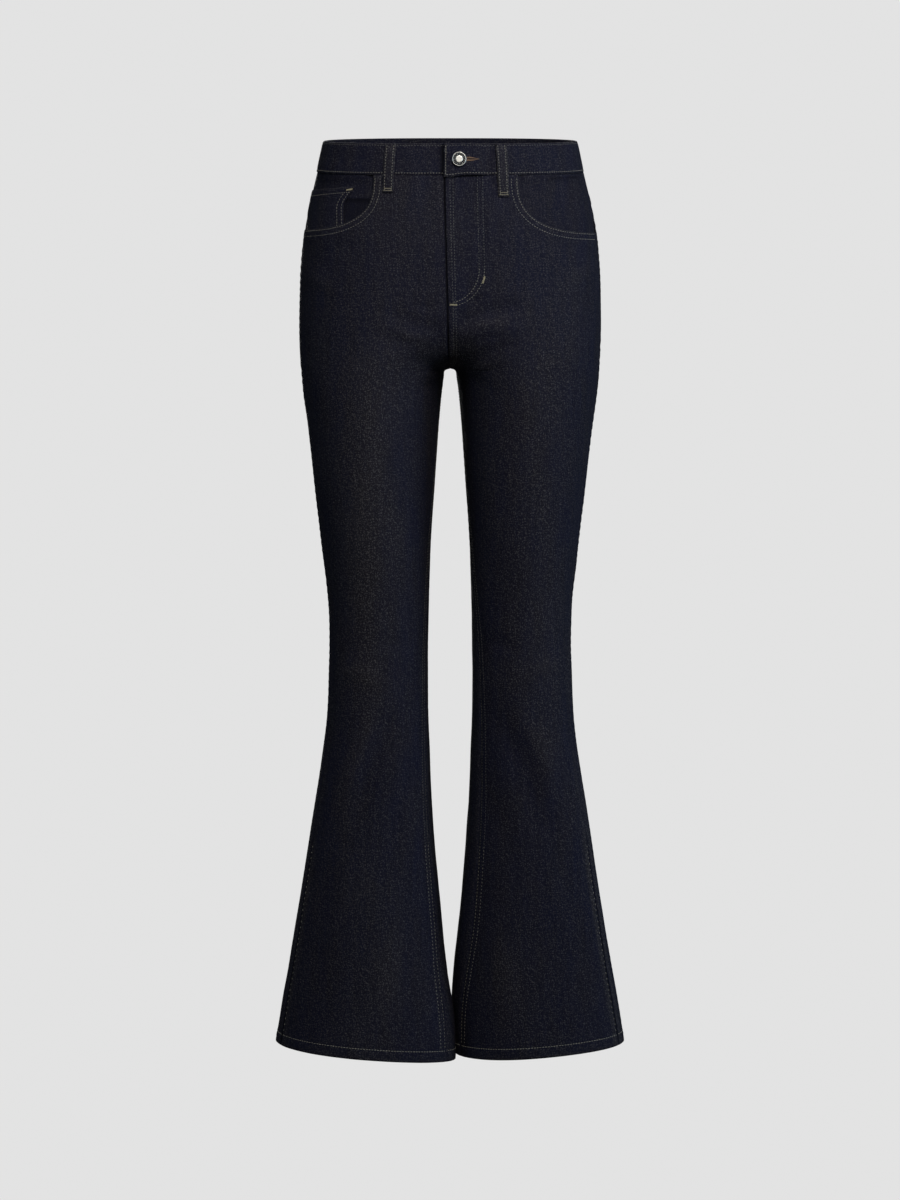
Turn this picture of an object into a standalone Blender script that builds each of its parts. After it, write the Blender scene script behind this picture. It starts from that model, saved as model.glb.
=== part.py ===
"""Flared five-pocket jeans, filled out and empty, in metres with +Z up.

The origin is the middle of the waistband ring, where a wearer's waist holds the garment up. The
front faces -Y. Left and right are the wearer's, so the left leg is the one at +X.

Every cloth piece is a wall on one body surface. That surface is read from a table of level
sections: a place on it is a run along the half section, from the centre front round the side to
the centre back, and a height. Below the fork the half section closes into a leg. A piece is a
grid of such places, given a thickness along the surface's normals.
"""

import math
from typing import NamedTuple

import bmesh
import bpy
import numpy as np

MM = 0.001

# Cloth layers
WALL = 1.2 * MM
SEAM_GAP = 0.3 * MM
LAYER_GAP = 0.45 * MM
HEM_HEIGHT = 14.0 * MM
HEM_WALL = 2.4 * MM

# Levels, on the side seam
WAIST_TOP = 17.4 * MM
WAIST_SEAM = -17.2 * MM
HEM = -1048.0 * MM
WAIST_SLOPE = 0.069          # the waist rises from front to back
WAIST_SLOPE_END = -120.0 * MM
HEM_SLOPE = 0.083            # the hem rises from the inseam to the outseam
HEM_SLOPE_START = -860.0 * MM

# Fork, where the four leg panels meet
FORK_Z = -245.3 * MM
FORK_Y = 20.0 * MM
FORK_ARCH = 4.0 * MM
FRONT_RISE = 72.0 * MM
BACK_RISE = 125.0 * MM
FORK_REACH = 80.0 * MM
GROOVE_SOFTNESS = 15.0 * MM
FULLNESS = 0.94              # 1 gives the sides an oval's roundness, less is squarer

# Lie of the garment: the centre front sits a little to the wearer's right
TURN = 5.0 * MM
TURN_AT_FORK = 0.6 * MM
HEM_SWAY = 4.8 * MM
SWAY_START = -930.0 * MM
HEM_STEP = 3.5 * MM
HEM_LAP = 20.0 * MM            # how far each hem's inner point moves, as one laps over the other
LAP_START = -880.0 * MM
LEG_TWIST = 12.0 * MM

# Waistband
BAND_WALL = 2.7 * MM
BAND_LIFT = 0.8 * MM
BAND_UNDERLAP = 32.0 * MM
BAND_OVERHANG = 1.2 * MM
BAND_RAMP = 16.0 * MM

# Belt loops
LOOP_WIDTH = 12.0 * MM
LOOP_WALL = 1.6 * MM
LOOP_FRONT = 61.9 * MM
LOOP_SPLAY = 3.6 * MM
LOOP_FROM_BACK = 128.0 * MM    # a back loop's run from the centre back
LOOP_DROP = 25.5 * MM
RIGHT_LOOP_RAISE = 5.0 * MM     # the foot of the wearer's right front loop sits a little higher

# Front pockets: the opening is a quarter of a superellipse
POCKET_TOP_X = 81.5 * MM
POCKET_SIDE_X = 176.0 * MM
POCKET_BOTTOM = -88.3 * MM
RIGHT_POCKET_RAISE = 3.5 * MM    # the wearer's right pocket sits a little higher
POCKET_FULLNESS = 2.9
POCKET_MEAN_Y = -80.0 * MM
FACING_RUN = 130.0 * MM
FACING_SHARES = (0.0, 0.13, 0.25, 0.45, 0.65, 0.84, 1.0)
FACING_BOTTOM = -118.0 * MM
FACING_DEPTH = 1.6 * MM
COIN_TOP = -31.5 * MM
COIN_BOTTOM = -104.0 * MM
COIN_FALL = 10.0 * MM
COIN_WALL = 1.0 * MM
COIN_GAP = 0.45 * MM
COIN_SINK = 1.0 * MM         # how deep the facing under it lies at the side seam

# Yoke and back pockets
YOKE_CENTRE = -91.0 * MM
YOKE_SIDE = -56.0 * MM
SEAT_RUN = 140.0 * MM
BACK_STRETCH = -160.0 * MM     # above this the back panel's rows bend towards the yoke's seam
BACK_POCKET_X = 90.0 * MM
BACK_POCKET_TOP = -108.0 * MM
BACK_POCKET_WIDTH = 124.0 * MM
BACK_POCKET_FOOT_WIDTH = 102.0 * MM
BACK_POCKET_SIDE = 110.0 * MM
BACK_POCKET_TIP = 16.0 * MM
BACK_POCKET_TILT = 0.07

# Fly
FLY_END = -170.0 * MM
FLY_EDGE_LIFT = 0.9 * MM
FLY_EDGE_WIDTH = 7.0 * MM
ZIP_HALF_WIDTH = 13.0 * MM
ZIP_TOP = -27.0 * MM
ZIP_BOTTOM = -158.0 * MM

# Button
BUTTON_RADIUS = 8.25 * MM
BUTTON_FROM_EDGE = 16.2 * MM
BUTTON_LEVEL = 0.0 * MM
BUTTON_HEIGHT = 3.6 * MM
BUTTON_SIDES = 24


class Section(NamedTuple):
    """A level section of one half of the garment, in millimetres."""

    z: float
    side: float       # x of the outermost point
    inner: float      # x of the innermost point of the leg, past the middle where the hems lap
    front: float      # y of the foremost point
    back: float       # y of the rearmost point
    side_y: float     # y of the outermost point
    front_x: float    # x of the foremost point
    back_x: float     # x of the rearmost point
    outseam: float    # run of the outseam forward of the outermost point
    inseam: float     # run of the inseam forward of the innermost point


SECTIONS = (
    Section(30.0, 143.6, 7.0, -90.5, 94.0, 0.0, 18.0, 22.0, 0.0, 0.0),
    Section(0.0, 149.9, 7.0, -93.5, 98.5, 1.0, 20.0, 26.0, 0.0, 0.0),
    Section(-22.0, 154.8, 7.0, -96.0, 103.0, 2.0, 23.0, 31.0, 0.0, 0.0),
    Section(-50.0, 161.8, 7.0, -98.5, 109.5, 4.0, 28.0, 38.0, 0.0, 0.0),
    Section(-85.0, 169.0, 7.0, -100.8, 119.0, 6.0, 35.0, 48.0, 0.0, 0.0),
    Section(-120.0, 172.8, 7.0, -102.0, 128.0, 8.0, 44.0, 58.0, 0.0, 0.0),
    Section(-165.0, 174.7, 7.0, -101.5, 133.0, 9.0, 57.0, 68.0, 0.0, 0.0),
    Section(-205.0, 175.1, 7.0, -100.5, 129.0, 8.0, 71.0, 77.0, 2.0, 0.0),
    Section(-245.0, 173.2, 7.0, -98.5, 116.0, 6.0, 85.0, 86.0, 4.0, 0.0),
    Section(-270.0, 170.9, 9.9, -96.5, 107.5, 5.0, 89.0, 90.0, 5.0, 2.0),
    Section(-305.0, 166.4, 13.4, -93.0, 99.0, 4.0, 90.0, 91.0, 7.0, 6.0),
    Section(-375.0, 158.5, 18.2, -86.0, 87.0, 3.0, 88.0, 89.0, 11.0, 12.0),
    Section(-470.0, 147.6, 23.6, -74.0, 74.0, 2.0, 85.0, 86.0, 16.0, 18.0),
    Section(-515.0, 142.9, 25.0, -67.0, 69.0, 2.0, 84.0, 84.0, 18.0, 20.0),
    Section(-562.0, 141.7, 25.9, -61.5, 67.0, 3.0, 83.5, 83.5, 19.0, 22.0),
    Section(-610.0, 143.0, 26.0, -58.5, 68.5, 4.0, 84.0, 84.0, 21.0, 23.0),
    Section(-657.0, 145.6, 25.4, -57.0, 71.0, 4.0, 85.5, 85.5, 22.0, 24.0),
    Section(-704.0, 151.4, 24.0, -55.5, 73.5, 4.0, 87.5, 87.5, 23.0, 25.0),
    Section(-752.0, 158.8, 21.7, -54.5, 75.5, 4.0, 90.5, 90.5, 24.0, 26.0),
    Section(-847.0, 173.4, 14.4, -55.0, 78.0, 4.0, 94.0, 94.0, 25.0, 27.0),
    Section(-943.0, 189.6, 4.7, -57.0, 79.0, 4.0, 96.5, 97.5, 26.0, 27.0),
    Section(-990.0, 197.5, -0.9, -58.2, 79.5, 4.0, 97.5, 99.5, 26.0, 26.0),
    Section(-1060.0, 208.2, -2.0, -61.0, 80.0, 4.0, 100.5, 103.5, 26.0, 24.0),
)


class Fold(NamedTuple):
    """A soft straight fold, seen square on, in millimetres."""

    leg: int          # +1 wearer's left, -1 wearer's right
    face: int         # -1 front, +1 back
    x0: float
    z0: float
    x1: float
    z1: float
    height: float     # proud if positive, hollow if negative
    reach: float      # how far it fades to each side


FOLDS = (
    Fold(1, -1, 18.0, -186.0, 70.0, -172.0, -2.6, 9.0),
    Fold(1, -1, 16.0, -204.0, 78.0, -196.0, 1.6, 10.0),
    Fold(1, -1, 14.0, -232.0, 66.0, -218.0, -2.2, 9.0),
    Fold(-1, -1, 20.0, -196.0, 62.0, -182.0, -1.6, 9.0),
    Fold(-1, -1, 24.0, -226.0, 70.0, -210.0, -1.4, 10.0),
    Fold(1, -1, 60.0, -650.0, 105.0, -770.0, -2.4, 18.0),
    Fold(-1, -1, 78.0, -660.0, 122.0, -790.0, -2.4, 18.0),
    Fold(1, -1, 112.0, -700.0, 150.0, -900.0, 2.0, 22.0),
    Fold(-1, -1, 118.0, -720.0, 152.0, -900.0, 2.0, 22.0),
    Fold(1, 1, 50.0, -570.0, 120.0, -590.0, -3.0, 14.0),
    Fold(-1, 1, 48.0, -576.0, 118.0, -562.0, -3.0, 14.0),
    Fold(1, 1, 55.0, -615.0, 115.0, -640.0, -2.4, 16.0),
    Fold(-1, 1, 52.0, -628.0, 118.0, -610.0, -2.4, 16.0),
    Fold(1, 1, 40.0, -262.0, 120.0, -284.0, -2.6, 13.0),
    Fold(-1, 1, 42.0, -268.0, 118.0, -280.0, -2.6, 13.0),
)

# Rows of every leg panel, up from the hem; the rows by the fork lie close together
HEM_ROWS = (HEM, HEM + HEM_HEIGHT, HEM + HEM_HEIGHT + 0.3 * MM)
PANEL_ROWS = HEM_ROWS + tuple(
    z * MM
    for z in (
        -992.0, -948.0, -902.0, -856.0, -810.0, -766.0, -724.0, -684.0,
        -646.0, -608.0, -570.0, -532.0, -492.0, -450.0, -408.0, -368.0, -332.0, -302.0, -278.0,
        -260.0, -249.6, -246.5, -245.45, -243.8, -240.3, -234.3, -225.3, -213.3, -198.3, -180.3,
        -160.3, -138.3, -118.0, -104.0, -88.3, -70.0, -52.0, -31.5, -17.5,
    )
)
BACK_COLUMNS = 14
CROWDING = 0.85              # 1 lets a panel's columns meet at its inner edge above the fork

DENIM = (0.012, 0.013, 0.022)
DENIM_INSIDE = (0.016, 0.018, 0.028)
BUTTON_METAL = (0.30, 0.30, 0.29)
ZIP_TAPE = (0.010, 0.011, 0.016)


# ---------------------------------------------------------------------------
# Body surface


def smooth(value):
    """Rise from 0 to 1 with level ends as the value goes from 0 to 1."""
    value = np.clip(value, 0.0, 1.0)
    return value * value * (3.0 - 2.0 * value)


def column(name, z):
    """Read one column of the section table at a height, on a smooth curve through its rows."""
    heights = np.array([row.z for row in reversed(SECTIONS)]) * MM
    values = np.array([getattr(row, name) for row in reversed(SECTIONS)]) * MM
    slopes = np.gradient(values, heights)
    i = int(np.clip(np.searchsorted(heights, z) - 1, 0, len(heights) - 2))
    step = heights[i + 1] - heights[i]
    t = (z - heights[i]) / step
    t2 = t * t
    t3 = t2 * t
    return (
        (2 * t3 - 3 * t2 + 1) * values[i]
        + (t3 - 2 * t2 + t) * step * slopes[i]
        + (3 * t2 - 2 * t3) * values[i + 1]
        + (t3 - t2) * step * slopes[i + 1]
    )


def turn_at(z):
    """How far the centre front lies to the wearer's right at a height."""
    share = smooth((z - FORK_Z) / (WAIST_SEAM - FORK_Z))
    above = TURN_AT_FORK + (TURN - TURN_AT_FORK) * share
    return np.where(z > FORK_Z, above, 0.0)


def half_oval(inside, peak, side, opening, softness):
    """Trace half a section: from the inside, over its peak, to the side.

    Below the fork the opening is 0 and the trace is half an oval. Above the fork the oval runs on
    past the middle, where it is cut off; the opening grows to 1, where the section is flat. The
    softness rounds the groove between the two halves.
    """
    angle = np.linspace(0.0, math.pi / 2.0, HalfBody.SAMPLES)
    left = 1.0 - np.cos(angle)
    inner_x = inside[0] + (peak[0] - inside[0]) * left
    share = 1.0 - np.hypot(left, softness)
    inner_y = inside[1] + (peak[1] - inside[1]) * np.sqrt(1.0 - ((1.0 - opening) * share) ** 2)
    outer_x = peak[0] + (side[0] - peak[0]) * np.sin(angle) ** FULLNESS
    outer_y = side[1] + (peak[1] - side[1]) * np.cos(angle) ** FULLNESS
    return np.column_stack(
        (np.concatenate((inner_x, outer_x[1:])), np.concatenate((inner_y, outer_y[1:])))
    )


def even_runs(curve, samples):
    """Space a curve's points evenly along it, and give its length."""
    steps = np.hypot(*np.diff(curve, axis=0).T)
    run = np.concatenate(([0.0], np.cumsum(steps)))
    even = np.linspace(0.0, run[-1], samples)
    points = np.column_stack((np.interp(even, run, curve[:, 0]), np.interp(even, run, curve[:, 1])))
    return points, run[-1]


class HalfBody:
    """The surface of one half of the garment, as closely spaced level sections."""

    SAMPLES = 65

    def __init__(self, side):
        self.side = side
        self.levels = self._levels()
        fronts = []
        backs = []
        self.front_runs = []
        self.back_runs = []
        for z in self.levels:
            front, back = self._section(z)
            front, front_run = even_runs(front, self.SAMPLES)
            back, back_run = even_runs(back, self.SAMPLES)
            fronts.append(self._folded(front, z, -1))
            backs.append(self._folded(back, z, 1))
            self.front_runs.append(front_run)
            self.back_runs.append(back_run)
        self.front = np.array(fronts)
        self.back = np.array(backs)
        self.front_runs = np.array(self.front_runs)
        self.back_runs = np.array(self.back_runs)

    @staticmethod
    def _levels():
        """List the section heights, close together beside the fork."""
        near_fork = FORK_Z + 0.03 * np.linspace(-1.0, 1.0, 61) ** 3
        wide = np.arange(-1060.0, 30.1, 5.0) * MM
        wide = wide[np.abs(wide - FORK_Z) > 0.03]
        return np.sort(np.concatenate((near_fork - 1e-6, wide)))

    def _section(self, z):
        """Trace the front and back halves of a level section, from the inside to the side."""
        side = (column("side", z), column("side_y", z))
        front_peak = (column("front_x", z), column("front", z) + self._leg_step(z))
        back_peak = (column("back_x", z), column("back", z) + self._leg_step(z))
        nearest = SEAM_GAP / 2.0
        if z < FORK_Z:
            share = min(1.0, (FORK_Z - z) / FORK_ARCH)
            arch = math.sqrt(1.0 - (1.0 - share) ** 2)
            sway = HEM_SWAY * smooth((SWAY_START - z) / (SWAY_START - HEM))
            inner_x = column("inner", z) * arch
            inner_x = max(nearest, inner_x) if z > SWAY_START else inner_x
            nearness = math.exp((z - FORK_Z) / FORK_REACH)
            lap = self.side * HEM_LAP * smooth((LAP_START - z) / (LAP_START - HEM))
            inside = (inner_x + self.side * sway, side[1] + (FORK_Y - side[1]) * nearness + lap)
            front = half_oval(inside, front_peak, side, 0.0, 0.0)
            return front, half_oval(inside, back_peak, side, 0.0, 0.0)
        inside = (nearest, FORK_Y)
        halves = []
        for peak, rise in ((front_peak, FRONT_RISE), (back_peak, BACK_RISE)):
            opening = min(1.0, (z - FORK_Z) / rise)
            softness = GROOVE_SOFTNESS / peak[0] * smooth(4.0 * opening)
            halves.append(half_oval(inside, peak, side, opening, softness))
        return halves

    def _leg_step(self, z):
        """Give how far back this leg hangs at a height: one stands a little before the other."""
        return self.side * HEM_STEP * smooth((FORK_Z - z) / (FORK_Z - HEM))

    def _folded(self, curve, z, face):
        """Move a section's points in and out over the folds that it crosses."""
        middle = curve[-1, 1]
        for fold in FOLDS:
            if fold.leg != self.side or fold.face != face:
                continue
            start = np.array((fold.x0, fold.z0)) * MM
            along = np.array((fold.x1, fold.z1)) * MM - start
            place = np.column_stack((curve[:, 0], np.full(len(curve), z))) - start
            share = np.clip(place @ along / (along @ along), 0.0, 1.0)
            gap = place - share[:, None] * along
            nearness = np.exp(-np.sum(gap**2, axis=1) / (fold.reach * MM) ** 2)
            facing = np.clip(np.abs(curve[:, 1] - middle) / 0.04, 0.0, 1.0)
            curve[:, 1] += face * fold.height * MM * nearness * facing
        return curve

    def front_run(self, z):
        """Give the run from the centre front, or the inside of the leg, to the side."""
        return np.interp(z, self.levels, self.front_runs)

    def whole_run(self, z):
        """Give the run from the centre front round the side to the centre back."""
        return self.front_run(z) + np.interp(z, self.levels, self.back_runs)

    def _read(self, table, share, z):
        """Read a face's points at shares of its run and heights."""
        level = np.clip(np.searchsorted(self.levels, z) - 1, 0, len(self.levels) - 2)
        low = self.levels[level]
        blend = ((z - low) / (self.levels[level + 1] - low))[..., None]
        place = np.clip(share, 0.0, 1.0) * (self.SAMPLES - 1)
        cell = np.clip(place.astype(int), 0, self.SAMPLES - 2)
        part = (place - cell)[..., None]
        lower = table[level, cell] * (1 - part) + table[level, cell + 1] * part
        upper = table[level + 1, cell] * (1 - part) + table[level + 1, cell + 1] * part
        return lower * (1 - blend) + upper * blend

    def _flat_place(self, run, z):
        """Find the x and y of a run and height, past the centre lines too."""
        run, z = np.broadcast_arrays(np.asarray(run, float), np.asarray(z, float))
        front_run = self.front_run(z)
        back_run = self.whole_run(z) - front_run
        whole = front_run + back_run
        leg = z < FORK_Z
        before = run < 0.0
        beyond = run > whole
        wrapped = np.where(leg & before, run + whole, run)
        wrapped = np.where(leg & beyond, run - whole, wrapped)
        mirrored = ~leg & (before | beyond)
        wrapped = np.where(~leg & before, -run, wrapped)
        wrapped = np.where(~leg & beyond, 2.0 * whole - run, wrapped)
        on_front = wrapped <= front_run
        front = self._read(self.front, wrapped / front_run, z)
        back = self._read(self.back, (whole - wrapped) / back_run, z)
        place = np.where(on_front[..., None], front, back)
        x = np.where(mirrored, -place[..., 0], place[..., 0])
        return np.stack((x, place[..., 1]), axis=-1)

    def place(self, run, z):
        """Find the place on the surface at a run and a height on the side seam."""
        run, z = np.broadcast_arrays(np.asarray(run, float), np.asarray(z, float))
        flat = self._flat_place(run, z)
        waist = smooth((z - WAIST_SLOPE_END) / (WAIST_SEAM - WAIST_SLOPE_END))
        flare = smooth((HEM_SLOPE_START - z) / (HEM_SLOPE_START - HEM))
        leg_middle = column("front_x", HEM)
        height = (
            z
            + WAIST_SLOPE * flat[..., 1] * waist
            + HEM_SLOPE * (flat[..., 0] - leg_middle) * flare
        )
        return np.stack((self.side * flat[..., 0], flat[..., 1], height), axis=-1)

    def normal(self, run, z):
        """Find the outward direction of the surface."""
        step = 1.0 * MM
        along = self.place(run + step, z) - self.place(run - step, z)
        up = self.place(run, z + step) - self.place(run, z - step)
        out = self.side * np.cross(along, up)
        return out / np.linalg.norm(out, axis=-1, keepdims=True)

    def lifted(self, run, z, lift):
        """Find the place a distance out from the surface."""
        lift = np.asarray(lift, float)
        return self.place(run, z) + self.normal(run, z) * lift[..., None]


LEFT = 1
RIGHT = -1
SIDE_NAMES = {LEFT: "left", RIGHT: "right"}


# ---------------------------------------------------------------------------
# Meshes


def material(name, color, roughness=0.9, metallic=0.0):
    """Make or fetch a plain material."""
    found = bpy.data.materials.get(name)
    if found:
        return found
    made = bpy.data.materials.new(name)
    made.use_nodes = True
    shader = made.node_tree.nodes["Principled BSDF"]
    shader.inputs["Base Color"].default_value = (*color, 1.0)
    shader.inputs["Roughness"].default_value = roughness
    shader.inputs["Metallic"].default_value = metallic
    return made


def mesh_object(name, vertices, faces, finish):
    """Make a named object from points and faces, with its faces turned outward."""
    mesh = bpy.data.meshes.new(name)
    mesh.from_pydata([tuple(float(v) for v in point) for point in vertices], [], faces)
    shape = bmesh.new()
    shape.from_mesh(mesh)
    bmesh.ops.recalc_face_normals(shape, faces=shape.faces)
    shape.to_mesh(mesh)
    shape.free()
    mesh.shade_smooth()
    mesh.set_sharp_from_angle(angle=math.radians(40.0))
    mesh.materials.append(finish)
    made = bpy.data.objects.new(name, mesh)
    bpy.context.scene.collection.objects.link(made)
    return made


def wall(name, outer, inner, finish):
    """Close two matching grids of points, rows by columns, into one wall of cloth.

    Every cell is split along the same diagonal, so that layers over each other nest.
    """
    rows, columns, _ = outer.shape
    count = rows * columns
    faces = []
    for i in range(rows - 1):
        for j in range(columns - 1):
            a = i * columns + j
            b = a + 1
            c = a + columns + 1
            d = a + columns
            for corners in ((a, b, c), (a, c, d)):
                faces.append(corners)
                faces.append(tuple(k + count for k in reversed(corners)))
    rim = [j for j in range(columns)]
    rim += [i * columns + columns - 1 for i in range(1, rows)]
    rim += [(rows - 1) * columns + j for j in range(columns - 2, -1, -1)]
    rim += [i * columns for i in range(rows - 2, 0, -1)]
    for k, a in enumerate(rim):
        b = rim[(k + 1) % len(rim)]
        faces.append((b, a, a + count, b + count))
    points = np.concatenate((outer.reshape(-1, 3), inner.reshape(-1, 3)))
    return mesh_object(name, points, faces, finish)


def prism(name, outline, near_y, far_y):
    """Make a hidden cutting block: an outline seen square on, from one y to another."""
    count = len(outline)
    points = [(x, y, z) for y in (near_y, far_y) for x, z in outline]
    faces = [tuple(range(count)), tuple(range(2 * count - 1, count - 1, -1))]
    for k in range(count):
        following = (k + 1) % count
        faces.append((k, following, following + count, k + count))
    block = mesh_object(name, points, faces, material("cutter", DENIM))
    block.hide_render = True
    block.display_type = "WIRE"
    return block


def trim(piece, operation, block):
    """Cut a piece with a block: DIFFERENCE takes the block away, INTERSECT keeps it."""
    cut = piece.modifiers.new(block.name, "BOOLEAN")
    cut.operation = operation
    cut.solver = "EXACT"
    cut.object = block


def layer(name, body, run, z, outer_lift, thickness, finish):
    """Make a wall of cloth over a grid of runs and heights."""
    outer_lift = np.broadcast_to(outer_lift, run.shape)
    thickness = np.broadcast_to(thickness, run.shape)
    outer = body.lifted(run, z, outer_lift)
    inner = body.lifted(run, z, outer_lift - thickness)
    return wall(name, outer, inner, finish)


# ---------------------------------------------------------------------------
# Seams


def centre_front(body, z):
    """Give the run of the centre front seam or the fly's edge, and of the inseam below it."""
    twist = LEG_TWIST if body.side == LEFT else 0.0
    twist = twist * smooth((FORK_Z - 0.1 - z) / 0.3)
    inseam = np.array([column("inseam", level) for level in np.ravel(z)]).reshape(np.shape(z))
    return np.where(z > FORK_Z, -body.side * turn_at(z), inseam + twist)


def outseam(body, z):
    """Give the run of the seam down the side of the leg."""
    forward = np.array([column("outseam", level) for level in np.ravel(z)]).reshape(np.shape(z))
    return body.front_run(z) - forward - body.side * turn_at(z)


def centre_back(body, z):
    """Give the run of the centre back seam, and of the inseam below it."""
    inseam = centre_front(body, z)
    return np.where(z > FORK_Z, body.whole_run(z), body.whole_run(z) + inseam)


def yoke_level(body, run, z):
    """Give the height of the yoke's seam, which falls from the side to the centre back."""
    start = outseam(body, z)
    share = (run - start) / (centre_back(body, z) - start)
    return YOKE_SIDE + (YOKE_CENTRE - YOKE_SIDE) * share


# ---------------------------------------------------------------------------
# Pieces


def fly_lift(body, run, z):
    """Give how far the left front stands proud along the edge of the fly."""
    if body.side != LEFT:
        return np.zeros_like(run)
    from_edge = run - centre_front(body, z)
    across = 1.0 - smooth((from_edge - FLY_EDGE_WIDTH) / (2.0 * FLY_EDGE_WIDTH))
    down = smooth((z - FLY_END) / 0.02)
    return FLY_EDGE_LIFT * across * down


def panel_columns(start, end, rows, outer_width, outer_shares):
    """Lay out a panel's columns in two halves, from its inner edge to its outseam.

    The outer half keeps its width beside the fork, and its columns turn from even ones down the
    leg to the given shares at the top. In the inner half, which is suddenly shorter above the
    fork, only the columns next to the inner edge crowd together.
    """
    half = 0.5 * (end - start)
    at_fork = np.interp(FORK_Z - 1.0 * MM, rows, half)
    upward = smooth((rows - FORK_Z) / 0.11)
    outer_width = math.copysign(outer_width, at_fork)
    wide = np.where(rows < FORK_Z, half, at_fork + (outer_width - at_fork) * upward)
    count = len(outer_shares) - 1
    even = np.linspace(0.0, 1.0, count + 1)
    runs = []
    for i in range(len(rows)):
        middle = end[i] - wide[i]
        length = middle - start[i]
        uncut = at_fork if rows[i] > FORK_Z else length
        lost = uncut - length
        crowding = CROWDING * uncut / lost if abs(lost) > 1e-6 else 1.0
        inward = even[:0:-1]
        inner = middle - uncut * inward + lost * inward**crowding
        shares = even + (np.array(outer_shares) - even) * upward[i]
        runs.append(np.concatenate((inner, middle + wide[i] * shares)))
    return np.array(runs)


def front_grid(body):
    """Lay out a front panel's runs and heights; the facing and coin pocket share its cells."""
    rows = np.array(PANEL_ROWS)
    start = centre_front(body, rows) + SEAM_GAP / 2.0
    end = outseam(body, rows) - SEAM_GAP / 2.0
    run = panel_columns(start, end, rows, FACING_RUN, FACING_SHARES)
    return run, np.repeat(rows[:, None], run.shape[1], axis=1)


def pocket_cutter(side):
    """Make the block that cuts a front pocket's opening out of its panel."""
    top = 30.0 * MM
    far_x = 250.0 * MM
    bottom = POCKET_BOTTOM + (RIGHT_POCKET_RAISE if side == RIGHT else 0.0)
    reach_x = POCKET_SIDE_X - POCKET_TOP_X
    reach_z = WAIST_SEAM - bottom
    outline = [(POCKET_TOP_X, top)]
    for angle in np.radians(np.arange(0.0, 90.1, 7.5)):
        x = POCKET_SIDE_X - reach_x * math.cos(angle) ** (2.0 / POCKET_FULLNESS)
        z = WAIST_SEAM - reach_z * math.sin(angle) ** (2.0 / POCKET_FULLNESS)
        outline.append((x, z))
    outline += [(far_x, bottom), (far_x, top)]
    shifted = []
    for x, z in outline:
        fall = WAIST_SLOPE * POCKET_MEAN_Y * float(smooth((z - POCKET_BOTTOM) / (0.07)))
        shifted.append((side * x - float(turn_at(z)), z + fall))
    return prism(f"pocket_cutter_{SIDE_NAMES[side]}", shifted, -150.0 * MM, 60.0 * MM)


def front_panel(body):
    """Make a front panel: leg, hem and front, with the pocket's opening cut out."""
    run, z = front_grid(body)
    lift = fly_lift(body, run, z)
    thickness = np.where(z < HEM + HEM_HEIGHT + 0.1 * MM, HEM_WALL, WALL)
    name = f"front_{SIDE_NAMES[body.side]}"
    panel = layer(name, body, run, z, lift, thickness, material("denim", DENIM))
    trim(panel, "DIFFERENCE", pocket_cutter(body.side))


def back_grid(body):
    """Lay out the runs and heights of a back panel's rows and columns, up to the yoke's seam."""
    rows = np.array([z for z in PANEL_ROWS if z < YOKE_CENTRE - 8.0 * MM] + [YOKE_CENTRE])
    inner = centre_back(body, rows) - SEAM_GAP / 2.0
    outer = outseam(body, rows) + SEAM_GAP / 2.0
    even = np.linspace(0.0, 1.0, BACK_COLUMNS // 2 + 1)
    run = panel_columns(inner, outer, rows, SEAT_RUN, even)
    z = np.repeat(rows[:, None], run.shape[1], axis=1)
    seam = yoke_level(body, run, z) - SEAM_GAP / 2.0
    part = np.clip((z - BACK_STRETCH) / (YOKE_CENTRE - BACK_STRETCH), 0.0, 1.0)
    share = (run - run[:, :1]) / (run[:, -1:] - run[:, :1])
    z = z + (seam - YOKE_CENTRE) * part
    inner = centre_back(body, z) - SEAM_GAP / 2.0
    outer = outseam(body, z) + SEAM_GAP / 2.0
    return inner + (outer - inner) * share, z


def back_panel(body):
    """Make a back panel: leg, hem and seat, up to the yoke."""
    run, z = back_grid(body)
    thickness = np.where(z < HEM + HEM_HEIGHT + 0.1 * MM, HEM_WALL, WALL)
    name = f"back_{SIDE_NAMES[body.side]}"
    layer(name, body, run, z, 0.0, thickness, material("denim", DENIM))


def yoke(body):
    """Make one half of the back yoke, between the back panel and the waistband."""
    rows = 3
    share = np.linspace(0.0, 1.0, BACK_COLUMNS + 1)
    middle = np.full(BACK_COLUMNS + 1, 0.5 * (YOKE_SIDE + WAIST_SEAM))
    run = outseam(body, middle) + (centre_back(body, middle) - outseam(body, middle)) * share
    low = yoke_level(body, run, middle) + SEAM_GAP / 2.0
    high = np.full(BACK_COLUMNS + 1, WAIST_SEAM - SEAM_GAP)
    z = np.array([low + (high - low) * k / rows for k in range(rows + 1)])
    start = outseam(body, z) + SEAM_GAP / 2.0
    run = start + (centre_back(body, z) - SEAM_GAP / 2.0 - start) * share
    return layer(f"yoke_{SIDE_NAMES[body.side]}", body, run, z, 0.0, WALL, material("denim", DENIM))


def facing_depth(body, run, z):
    """Give how deep a pocket's facing lies: level with the yoke at the side, under the front."""
    deep = FACING_DEPTH
    sink = 0.0
    if body.side == RIGHT:
        deep += COIN_WALL + COIN_GAP
        sink = COIN_SINK
    by_side = smooth((run - outseam(body, z) + 42.0 * MM) / (38.0 * MM))
    above = smooth((z - POCKET_BOTTOM - 7.0 * MM) / (20.0 * MM))
    return deep + (sink - deep) * by_side * above


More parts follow.
